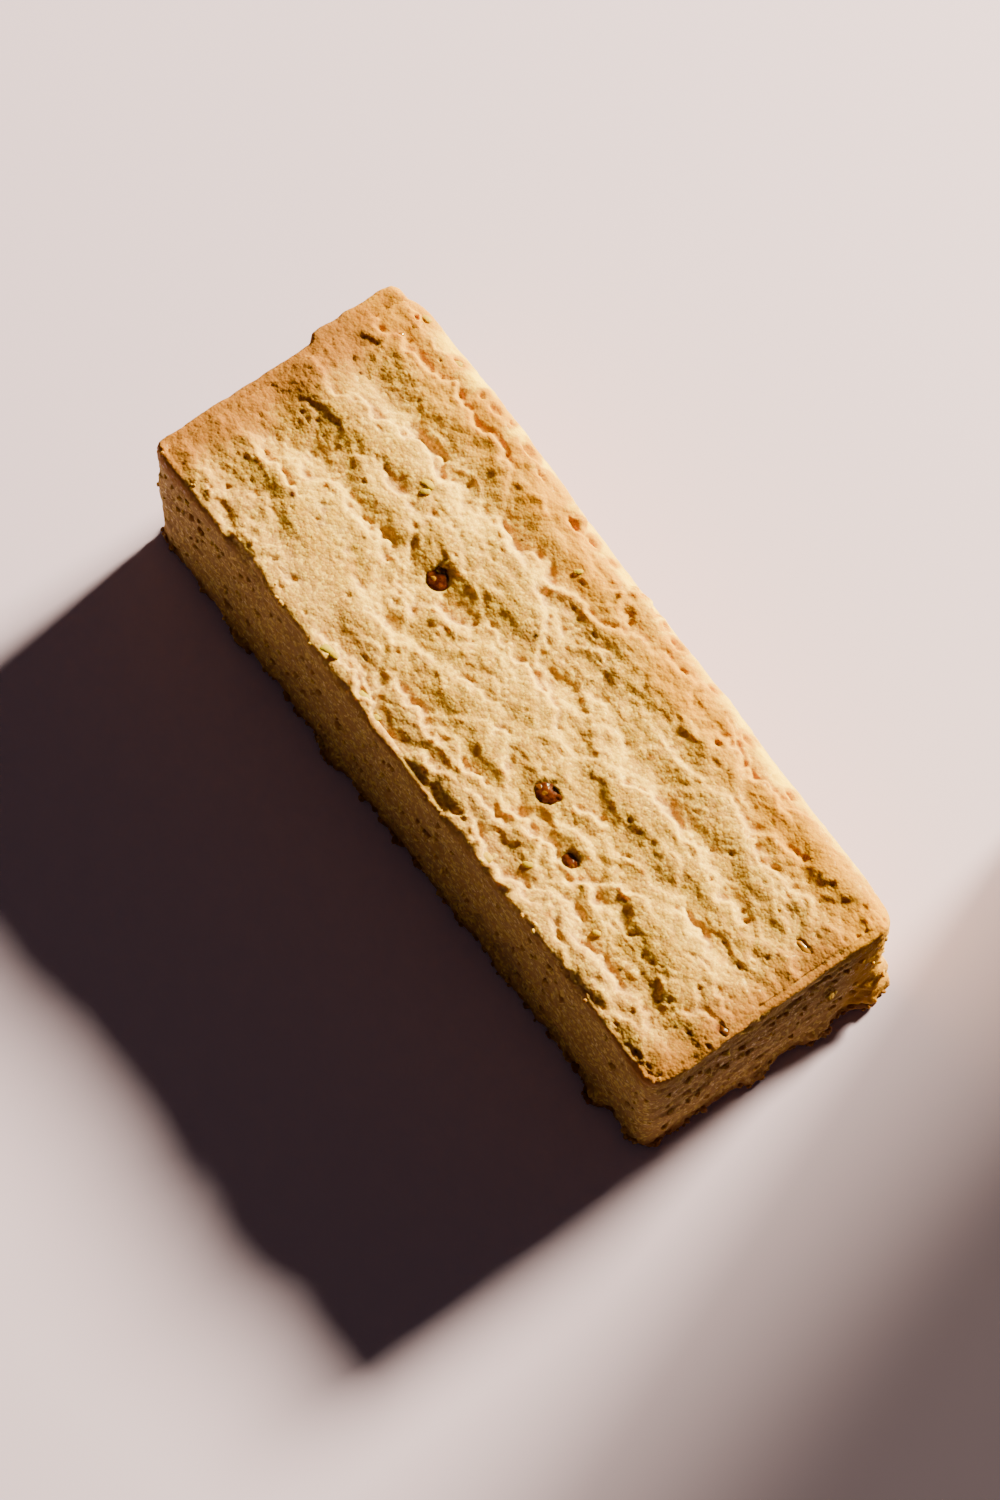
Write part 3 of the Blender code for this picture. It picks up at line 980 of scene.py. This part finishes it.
# Dark specks in the top: (x, y, radius).
SPECKS = [
    (18.8, -3.5, 0.22),
    (16.9, -1.3, 0.24),
    (-11.0, 7.3, 0.26),
    (-2.5, 2.6, 0.30),
    (-19.0, -4.4, 0.26),
    (33.8, -13.0, 0.25),
    (35.4, -8.3, 0.28),
    (36.7, 5.9, 0.22),
    (3.8, 4.3, 0.20),
    (27.0, -9.6, 0.24),
    (16.7, -9.6, 0.22),
    (19.0, -8.0, 0.26),
    (23.4, -3.7, 0.18),
    (-32.8, 5.0, 0.26),
    (34.0, 2.4, 0.22),
    (-26.2, -7.3, 0.45),
    (-31.0, -13.2, 0.28),
    (-34.6, -13.4, 0.30),
    (20.8, 8.7, 0.20),
    (17.8, 9.1, 0.20),
]


def spots(places, marks, ragged):
    """How strongly round marks on the top cover each place."""
    cover = np.zeros(len(places))
    for mark_x, mark_y, radius, strength in marks:
        away = np.hypot(places[:, 0] - mark_x, places[:, 1] - mark_y) / radius + ragged
        cover = np.maximum(cover, strength * smooth(1.15, 0.35, away))
    return cover


def store(piece, name, values):
    """Stores one number for each vertex on the mesh, under a name that a material can read."""
    piece.data.attributes.new(name, "FLOAT", "POINT").data.foreach_set("value", values)


# %% Store what the material reads
x, y, z = places.T
level = thickness(x) - z
blotch = ripple(places, 3.2, 111.0)
fleck = ripple(places, 0.7, 112.0)
on_top = smooth(3.0, 1.0, level)
far_side = smooth(5.0, -5.0, x)
ends = (0.28 + 0.10 * far_side) * smooth(26.0, 34.0, np.abs(x) + 1.6 * blotch)
ragged_x = np.abs(x) + 0.6 * fleck + 0.8 * blotch
ends += (0.66 + 0.06 * far_side) * smooth(33.0 - far_side, 36.4 - 0.6 * far_side, ragged_x)
crust_line = smooth(1.5, 0.5, level + 0.4 * fleck) * (1.0 - facing["top"] - facing["near"]) * 0.5
browned = 0.50 + 0.25 * blotch + 0.15 * fleck
sides = (
    browned * smooth(1.5, 5.0, level) * facing["slab"]
    + 0.10 * facing["cut"]
    # The near end's toast is partly real browning and partly painted shade.
    + 0.25 * facing["near"]
    + 0.5 * facing["far"]
)
near_fade = 1.0 - 0.6 * facing["near"] * smooth(0.5, 1.1, level)
toast = np.clip(ends * on_top * near_fade + crust_line + sides, 0.0, 1.0)
# Painted glow: the rounded rim, where the lamp strikes it, is painted a bright yellow.
painted_rim_glow = smooth(11.6, 13.2, y + 0.5 * blotch + 0.3 * fleck) * smooth(34.0, 31.0, np.abs(x))
painted_rim_glow *= smooth(3.4, 1.4, level + 0.4 * blotch)
gold = 0.75 * smooth(6.0, 10.0, y + 1.2 * blotch) * (1.0 - painted_rim_glow) * on_top
gold += spots(places, GOLD_PATCHES, 0.35 * blotch) * on_top
# The rim's pits are painted golden: a painted glow of the light inside them.
gold += 1.2 * spots(places, [(*pit[:2], 1.5 * pit[2], 1.0) for pit in RIM_PITS], 0.4 * fleck) * on_top
gold += 0.85 * facing["near"] * smooth(8.0, 10.0, y + 0.5 * blotch)
gold = np.clip(gold, 0.0, 1.0)
stain = spots(places, STAINS, 0.4 * fleck) * on_top
stain += 0.4 * facing["near"] * smooth(7.5, 10.0, y + 0.8 * blotch)
char = spots(places, [(*mark, 1.0) for mark in SPECKS], 0.2 * fleck) * on_top
pocket_marks = [(*pocket[:2], 0.9 * pocket[2], 0.9) for pocket in POCKETS[:4]]
char = np.maximum(char, spots(places, pocket_marks, 0.25 * fleck) * on_top)
foot = smooth(1.7, 0.5, z + 0.6 * blotch + 0.35 * fleck - 0.4 * facing["near"])
band = facing["near"] * smooth(3.0, 1.8, level + 0.5 * blotch)
# The cut side and the ends get a darker, bluer colour: partly the inside crumb's own colour, partly
# painted shade, strongest on the cut side and the near end.
inside = 0.9 * facing["cut"] + 0.9 * facing["near"] + 0.5 * facing["far"] - 0.4 * band
# The near end's crust band is made paler too, in the same attribute as the painted highlight.
painted_highlight_and_crust_band = painted_highlight_and_crust_band + 0.8 * band * smooth(0.5, 1.1, level)
painted_highlight_and_crust_band *= (1.0 - 0.85 * toast) * (1.0 - 0.7 * gold)
painted_crease_shade *= (1.0 - 0.7 * toast) * (1.0 - 0.4 * gold)

looks = {"painted_crease_shade": painted_crease_shade, "painted_highlight_and_crust_band": painted_highlight_and_crust_band, "toast": toast, "gold": gold, "painted_rim_glow": painted_rim_glow}
looks.update({"stain": stain, "char": char, "foot": foot, "inside": inside})
for name, values in looks.items():
    store(finger, name, np.clip(values, 0.0, 1.0))
    print(name, "covers", round(float(np.mean(values)), 3))

# %% [markdown]
# ## Grain
#
# Shortbread breaks into sugar and flour grains about a third of a millimetre across. Crumb and loose
# crumbs both show them. The grain is a node group, built once and put in the material that they share.

# %% Node group for grain
grain = bpy.data.node_groups.new("crumb_grain", "ShaderNodeTree")
grain.interface.new_socket("Grain Size", in_out="INPUT", socket_type="NodeSocketFloat")
for output in ("Height", "Mottle", "Glint", "Sugar"):
    grain.interface.new_socket(output, in_out="OUTPUT", socket_type="NodeSocketFloat")
entry, leave = grain.nodes.new("NodeGroupInput"), grain.nodes.new("NodeGroupOutput")
coordinates = grain.nodes.new("ShaderNodeTexCoord")
fineness = calculate(grain, "DIVIDE", 1.0, entry.outputs["Grain Size"])


def grain_cells(share):
    """Cells that stand for grains, share times as fine as the finest ones."""
    cells = grain.nodes.new("ShaderNodeTexVoronoi")
    grain.links.new(coordinates.outputs["Object"], cells.inputs["Vector"])
    grain.links.new(calculate(grain, "MULTIPLY", fineness, share), cells.inputs["Scale"])
    return cells


grains, clumps = grain_cells(1.0), grain_cells(0.42)
dust = grain.nodes.new("ShaderNodeTexNoise")
grain.links.new(coordinates.outputs["Object"], dust.inputs["Vector"])
grain.links.new(calculate(grain, "MULTIPLY", fineness, 0.35), dust.inputs["Scale"])
dust.inputs["Detail"].default_value = 4.0
dust.inputs["Roughness"].default_value = 0.65
split = grain.nodes.new("ShaderNodeSeparateColor")
grain.links.new(grains.outputs["Color"], split.inputs["Color"])
dusty = calculate(grain, "MULTIPLY", dust.outputs["Fac"], 0.8)
crowns = calculate(grain, "MULTIPLY_ADD", grains.outputs["Distance"], -0.55, dusty)
crowns = calculate(grain, "MULTIPLY_ADD", clumps.outputs["Distance"], -0.9, crowns)
bump_height = calculate(grain, "MULTIPLY_ADD", split.outputs["Blue"], 0.25, crowns)
dark_dust = calculate(grain, "MULTIPLY_ADD", dust.outputs["Fac"], -1.6, 0.55)
creases = calculate(grain, "MULTIPLY_ADD", clumps.outputs["Distance"], 0.9, dark_dust)
mottle = calculate(grain, "MULTIPLY_ADD", split.outputs["Green"], 0.55, creases)
glint = calculate(grain, "GREATER_THAN", split.outputs["Red"], 0.95)
grain.links.new(bump_height, leave.inputs["Height"])
grain.links.new(mottle, leave.inputs["Mottle"])
grain.links.new(glint, leave.inputs["Glint"])
grain.links.new(calculate(grain, "MULTIPLY_ADD", split.outputs["Red"], 2.2, -1.2), leave.inputs["Sugar"])
print("crumb_grain has", len(grain.nodes), "nodes")

# %% [markdown]
# ## The crumb's material
#
# The colours are laid over each other from the palest to the darkest. Baked crumb lets light in a
# little way and glows where it is thin, so the shader has some subsurface scattering. Its amount is the
# same all over, so it is set on the shader's own sockets.

# %% Crumb material
PALE_CRUMB = (0.58, 0.322, 0.024, 1.0)
GOLDEN_CRUMB = (0.48, 0.242, 0.044, 1.0)
HIGHLIGHT_AND_CRUST_BAND = (0.80, 0.525, 0.085, 1.0)
INSIDE_CRUMB_AND_PAINTED_SHADE = (0.345, 0.186, 0.055, 1.0)
TOASTED = (0.30, 0.112, 0.016, 1.0)
GOLD_PATCH = (0.54, 0.245, 0.0001, 1.0)
GRAIN_GAP = (0.48, 0.246, 0.070, 1.0)
PAINTED_RIM_GLOW = (1.0, 0.66, 0.008, 1.0)
PAINTED_CREASE_SHADE = (0.49, 0.272, 0.135, 1.0)
STAIN = (0.38, 0.150, 0.010, 1.0)
FOOT_BROWN = (0.19, 0.070, 0.013, 1.0)
CHAR = (0.075, 0.014, 0.005, 1.0)
SUGAR_WHITE = (0.93, 0.65, 0.13, 1.0)

crumb_material, tree, shader = new_material("baked_crumb")
grit = tree.nodes.new("ShaderNodeGroup")
grit.node_tree = grain
grit.inputs["Grain Size"].default_value = 0.27 * MM
blotches = calculate(tree, "MULTIPLY_ADD", cloud(tree, 4.0, 3.0), 2.0, -0.75)
gaps = calculate(tree, "MULTIPLY_ADD", grit.outputs["Mottle"], 0.75, -0.18)
off_gold = calculate(tree, "MULTIPLY_ADD", attribute(tree, "gold"), -0.8, 0.9)
layers = [
    (GOLDEN_CRUMB, blotches),
    # Cut side and ends: the inside crumb's colour, darkened further as painted shade.
    (INSIDE_CRUMB_AND_PAINTED_SHADE, attribute(tree, "inside")),
    # Painted highlight on lips and crowns that face the lamp, and the near end's paler crust band.
    (HIGHLIGHT_AND_CRUST_BAND, calculate(tree, "MULTIPLY", attribute(tree, "painted_highlight_and_crust_band"), 0.8)),
    # Painted shade in creases and pores.
    (PAINTED_CREASE_SHADE, calculate(tree, "MULTIPLY", attribute(tree, "painted_crease_shade"), 0.75)),
    (GRAIN_GAP, gaps),
    (SUGAR_WHITE, calculate(tree, "MULTIPLY", grit.outputs["Sugar"], 0.7)),
    # Painted glow on the rounded rim.
    (PAINTED_RIM_GLOW, calculate(tree, "MULTIPLY", attribute(tree, "painted_rim_glow"), off_gold)),
    (TOASTED, calculate(tree, "MULTIPLY", attribute(tree, "toast"), 0.9)),
    (GOLD_PATCH, calculate(tree, "MULTIPLY", attribute(tree, "gold"), 0.95)),
    (STAIN, attribute(tree, "stain")),
    (FOOT_BROWN, attribute(tree, "foot")),
    (CHAR, attribute(tree, "char")),
]
colour = PALE_CRUMB
for layer, share in layers:
    colour = mix_colours(tree, colour, layer, share)
tree.links.new(colour, shader.inputs["Base Color"])
roughness = calculate(tree, "MULTIPLY_ADD", grit.outputs["Glint"], -0.45, 0.80)
tree.links.new(roughness, shader.inputs["Roughness"])
add_bump(tree, shader, grit.outputs["Height"], 1.0, 0.09)
let_light_in(shader, 0.60, (1.0, 0.85, 0.45), 0.75)
shader.inputs["Specular IOR Level"].default_value = 0.10
finger.data.materials.clear()
finger.data.materials.append(crumb_material)
print("baked_crumb has", len(tree.nodes), "nodes")

# %% [markdown]
# ## Melted sugar
#
# Where a lump of sugar melted in the oven it left a small pocket with dark, glassy caramel in it. Each
# bit starts as an icosphere, which has even faces all round, is stretched and turned, and is then
# pushed in and out by noise. All bits become one object, because they share one finish.

# %% Helpers for small pieces
def roughen(piece, size, reach, seed):
    """Pushes a piece's vertices along their normals, by bumps of this size and reach in millimetres."""
    places, normals = get_places(piece), get_normals(piece)
    places += normals * (reach * ripple(places, size, seed))[:, None]
    put_places(piece, places)


def rest_on(piece, x, y, sink):
    """Where the crumb's surface lies under a place, in metres, sink millimetres deeper."""
    above = Vector(((x + BLOCK_MIDDLE[0]) * MM, (y + BLOCK_MIDDLE[1]) * MM, 0.05))
    found, spot, normal, face = piece.ray_cast(above, Vector((0.0, 0.0, -1.0)))
    return Vector((above.x, above.y, spot.z - sink * MM))


def join(parts, name):
    """Joins parts into one object at the origin, with its place in its mesh."""
    bpy.ops.object.select_all(action="DESELECT")
    for part in parts:
        part.select_set(True)
    bpy.context.view_layer.objects.active = parts[0]
    bpy.ops.object.join()
    joined = bpy.context.object
    joined.name = name
    bpy.ops.object.transform_apply(location=True, rotation=True, scale=True)
    bpy.ops.object.shade_smooth()
    return joined


# %% Bits of melted sugar
# Each is (x, y, half length, half width, half height, turn, how far below the surface around, amber).
SUGAR_BITS = [
    (-12.20, -0.85, 1.50, 1.40, 0.55, 0.5, 0.02, 0.0),
    (-12.80, -0.20, 0.60, 0.55, 0.45, 1.2, 0.12, 0.1),
    (-12.40, -1.25, 0.80, 0.62, 0.50, 0.4, -0.03, 1.0),
    (-11.55, -1.10, 0.50, 0.60, 0.45, 2.0, 0.10, 0.25),
    (10.15, -5.15, 1.65, 1.22, 0.55, 0.3, 0.11, 0.0),
    (10.05, -5.35, 0.75, 0.60, 0.45, 0.9, 0.06, 0.4),
    (10.95, -4.70, 0.55, 0.45, 0.40, 1.0, 0.08, 0.0),
    (9.30, -5.50, 0.55, 0.45, 0.40, 0.6, 0.10, 0.15),
    (16.35, -7.20, 1.25, 0.95, 0.50, 2.9, 0.06, 0.0),
    (16.80, -7.35, 0.45, 0.40, 0.40, 0.4, 0.00, 0.2),
    (36.42, -5.70, 0.78, 0.58, 0.35, 0.4, 0.12, 0.1),
    (34.55, 4.75, 1.05, 0.42, 0.35, 0.2, 0.06, 0.9),
    (-33.80, 10.10, 0.55, 0.30, 0.25, 1.3, 0.06, 0.5),
    (-33.90, 11.90, 0.45, 0.30, 0.25, 1.7, 0.06, 0.5),
    (-26.15, -7.30, 0.40, 0.25, 0.25, 0.2, 0.06, 0.2),
]

bits = []
for x, y, half_long, half_wide, half_tall, turn, sink, amber in SUGAR_BITS:
    bpy.ops.object.select_all(action="DESELECT")
    ground = thickness(x) + read_grid(heights, np.array([[x, y, 0.0]]))[0] - sink
    place = Vector((x + BLOCK_MIDDLE[0], y + BLOCK_MIDDLE[1], ground - half_tall)) * MM
    bpy.ops.mesh.primitive_ico_sphere_add(subdivisions=4, radius=MM, location=place)
    bit = bpy.context.object
    bit.rotation_euler = (0.0, 0.0, turn)
    bit.scale = (half_long, half_wide, half_tall)
    bpy.ops.object.transform_apply(location=True, rotation=True, scale=True)
    roughen(bit, 0.8, 0.16, 131.0)
    roughen(bit, 0.35, 0.06, 132.0)
    store(bit, "amber", [amber] * len(bit.data.vertices))
    bits.append(bit)
sugar = join(bits, "melted_sugar_bits")
print(len(SUGAR_BITS), "bits of melted sugar,", len(sugar.data.polygons), "faces")

# %% Melted sugar's material
CARAMEL = (0.050, 0.007, 0.0020, 1.0)
CARAMEL_RED = (0.13, 0.028, 0.002, 1.0)
AMBER = (0.36, 0.15, 0.001, 1.0)

sugar_material, tree, shader = new_material("glassy_caramel")
redder = calculate(tree, "MULTIPLY_ADD", cloud(tree, 0.5, 2.0), 3.0, -1.1)
colour = mix_colours(tree, CARAMEL, CARAMEL_RED, redder)
colour = mix_colours(tree, colour, AMBER, attribute(tree, "amber"))
tree.links.new(colour, shader.inputs["Base Color"])
roughness = calculate(tree, "MULTIPLY_ADD", cloud(tree, 0.3, 2.0), 0.35, 0.02)
tree.links.new(roughness, shader.inputs["Roughness"])
add_bump(tree, shader, cloud(tree, 0.25, 3.0), 0.5, 0.08)
shader.inputs["Coat Weight"].default_value = 0.5
shader.inputs["Coat Roughness"].default_value = 0.08
let_light_in(shader, 0.15, (1.0, 0.30, 0.05), 0.6)
sugar.data.materials.append(sugar_material)
print("glassy_caramel has", len(tree.nodes), "nodes")

# %% [markdown]
# ## Lemon zest
#
# The zest was grated, so each fleck is a short curled shaving, bright yellow with a green cast. A
# plane grid is the right start for a shaving: it is cut to an uneven outline, curled by moving its
# vertices, and given its thickness by the Solidify modifier.

# %% Flecks of zest
# Each is (x, y, length, width, turn, tilt over the edge, green).
ZEST_FLECKS = [
    (-20.0, 3.4, 1.3, 0.8, 0.3, -0.3, 0.1),
    (-19.5, 2.7, 0.9, 0.4, 0.9, 0.0, 0.4),
    (-12.3, -13.4, 1.6, 0.8, 0.35, -0.2, 0.7),
    (-11.2, -13.2, 0.8, 0.6, 0.5, -0.1, 0.2),
    (-6.8, -13.1, 1.1, 0.8, 0.2, -0.2, 0.7),
    (-4.6, -13.3, 0.8, 0.6, 0.9, -0.2, 0.5),
    (11.8, -13.2, 1.3, 1.0, 0.4, -0.2, 0.0),
    (14.6, -10.6, 0.9, 0.5, 0.9, 0.0, 0.4),
    (-34.0, 13.3, 0.9, 0.5, 0.2, -0.4, 0.1),
    (-28.5, 13.0, 0.9, 0.5, 0.2, -0.4, 0.1),
    (23.2, -9.4, 0.7, 0.4, 0.7, 0.0, 0.0),
    (-5.4, 9.6, 0.8, 0.35, 1.1, 0.0, 0.3),
]

flecks = []
for number, (x, y, long, wide, turn, tilt, green) in enumerate(ZEST_FLECKS):
    bpy.ops.object.select_all(action="DESELECT")
    bpy.ops.mesh.primitive_grid_add(x_subdivisions=10, y_subdivisions=5, size=MM)
    fleck = bpy.context.object
    for vertex in fleck.data.vertices:
        across, over = vertex.co.x / MM, vertex.co.y / MM
        narrow = 1.0 - 1.6 * across**2 + 0.25 * noise.noise((4.0 * across, number * 3.1, 0.0))
        curl = -0.55 * (across - 0.1) ** 2 * long - 0.7 * over**2 * wide
        ragged = 0.12 * noise.noise((9.0 * across, 9.0 * over, number * 5.7))
        vertex.co = Vector((across * long, over * wide * narrow + ragged, curl + 0.6 * ragged)) * MM
    wall = fleck.modifiers.new("thickness", "SOLIDIFY")
    wall.thickness = 0.40 * MM
    wall.offset = 0.0
    rounding = fleck.modifiers.new("rounding", "SUBSURF")
    rounding.levels = 1
    rounding.render_levels = 1
    apply_all(fleck)
    fleck.rotation_euler = (tilt, 0.12, turn)
    fleck.location = rest_on(finger, x, y, -0.05)
    store(fleck, "green", [green] * len(fleck.data.vertices))
    bpy.ops.object.transform_apply(location=True, rotation=True, scale=True)
    flecks.append(fleck)
zest = join(flecks, "zest_flecks")
print(len(ZEST_FLECKS), "flecks of zest,", len(zest.data.polygons), "faces")

# %% Zest's material
ZEST_YELLOW = (0.44, 0.275, 0.0001, 1.0)
ZEST_GREEN = (0.36, 0.285, 0.0003, 1.0)
ZEST_PITH = (0.62, 0.42, 0.01, 1.0)

zest_material, tree, shader = new_material("lemon_zest")
colour = mix_colours(tree, ZEST_YELLOW, ZEST_GREEN, attribute(tree, "green"))
pith = calculate(tree, "MULTIPLY_ADD", cloud(tree, 0.4, 2.0), 2.0, -1.5)
colour = mix_colours(tree, colour, ZEST_PITH, pith)
tree.links.new(colour, shader.inputs["Base Color"])
roughness = calculate(tree, "MULTIPLY_ADD", cloud(tree, 0.2, 2.0), 0.4, 0.35)
tree.links.new(roughness, shader.inputs["Roughness"])
add_bump(tree, shader, cloud(tree, 0.15, 2.0), 0.5, 0.05)
shader.inputs["Specular IOR Level"].default_value = 0.15
let_light_in(shader, 0.4, (1.0, 0.8, 0.1), 0.5)
zest.data.materials.append(zest_material)
print("lemon_zest has", len(tree.nodes), "nodes")

# %% [markdown]
# ## Crumbs
#
# Broken crumbs cling to the crisp edge of the cut side, to the cut side and near end, and to the foot.
# One crumb is modelled, from a cube that is divided and cast towards a ball, so that it has only a few
# dozen faces. Copies, each with its own mesh, are sunk into the skin at places drawn at random.

# %% Crumbs that cling
def crumb_shape():
    """One lumpy crumb a millimetre across, of a few dozen faces."""
    bpy.ops.object.select_all(action="DESELECT")
    bpy.ops.mesh.primitive_cube_add(size=MM)
    crumb = bpy.context.object
    bpy.ops.object.mode_set(mode="EDIT")
    bpy.ops.mesh.subdivide(number_cuts=2)
    bpy.ops.object.mode_set(mode="OBJECT")
    cast = crumb.modifiers.new("ball", "CAST")
    cast.factor = 0.75
    apply_all(crumb)
    return crumb


def strew_crumbs(weights, count, sizes, seed):
    """Copies of the crumb at vertices drawn by weight, and the vertex under each."""
    draw = random.Random(seed)
    chosen = draw.choices(range(len(weights)), weights=weights, k=count)
    copies = []
    for index in chosen:
        vertex = finger.data.vertices[index]
        size = sizes[0] + (sizes[1] - sizes[0]) * draw.random() ** 2
        copy = crumb_model.copy()
        copy.data = crumb_model.data.copy()
        bpy.context.scene.collection.objects.link(copy)
        copy.scale = [size * draw.uniform(0.7, 1.3) for _ in range(3)]
        copy.rotation_euler = [draw.uniform(0.0, math.pi) for _ in range(3)]
        copy.location = vertex.co + vertex.normal * (-0.16 * size * MM)
        copies.append(copy)
    return copies, chosen


# %% Strew the crumbs
crumb_model = crumb_shape()
here = get_places(finger)
x, y, z = here.T
level = thickness(x) - z
edge = smooth(1.2, 0.2, np.abs(y + half_width(x))) * smooth(1.6, 0.3, level)
sideways = facing["cut"] + facing["near"] + facing["far"] + facing["slab"]
foot_weights = smooth(1.6, 0.7, z) * (z > 0.35) * (sideways > 0.6)
side_weights = (facing["cut"] + facing["near"]) * smooth(2.0, 3.0, z) * smooth(2.0, 3.5, level)
groups = (
    (edge, 24, (0.25, 0.45), 201),
    (foot_weights, 260, (0.30, 0.80), 202),
    (side_weights, 260, (0.30, 0.70), 203),
)
crumbs_made, under = [], []
for weights, count, sizes, seed in groups:
    copies, chosen = strew_crumbs((weights + 1e-9).tolist(), count, sizes, seed)
    crumbs_made += copies
    under += chosen
vertices_each = len(crumb_model.data.vertices)
bpy.data.objects.remove(crumb_model)
loose = join(crumbs_made, "clinging_crumbs")
roughen(loose, 0.45, 0.20, 141.0)
settled = get_places(loose)
settled[:, 2] = np.maximum(settled[:, 2], 0.03)
put_places(loose, settled)
print(len(under), "crumbs,", len(loose.data.polygons), "faces")

# %% Crumbs take the colours of the skin under them
for name in ("painted_crease_shade", "painted_highlight_and_crust_band", "toast", "gold", "painted_rim_glow", "foot", "inside"):
    values = np.empty(len(finger.data.vertices), np.float32)
    finger.data.attributes[name].data.foreach_get("value", values)
    spread = np.repeat(values[under], vertices_each)
    # Loose crumbs take only a little of the painted shade.
    if name == "painted_crease_shade":
        spread = 0.3 * spread
    store(loose, name, spread)
loose.data.materials.append(crumb_material)
print("crumbs carry", len(loose.data.attributes), "attributes")

# %% [markdown]
# ## Hand over
#
# Every piece rides on the one body, and all of them together stand for the plain solid, which stays in
# the model unseen. The box of the dressed finger is written beside the plain one's, to compare them.

# %% Hand over
finishes = [
    (finger, "baked_shortbread"),
    (loose, "baked_shortbread"),
    (sugar, "melted_sugar"),
    (zest, "lemon_zest"),
]
for piece, finish in finishes:
    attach(piece, BODY)
    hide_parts(SOLID)

plain_box = [list(corner) for corner in cad_bounds]
dressed_box = [list(corner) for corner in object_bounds()]
for name, box in (("plain", plain_box), ("dressed", dressed_box)):
    print(name, "box, mm:", [[round(value / MM, 2) for value in corner] for corner in box])
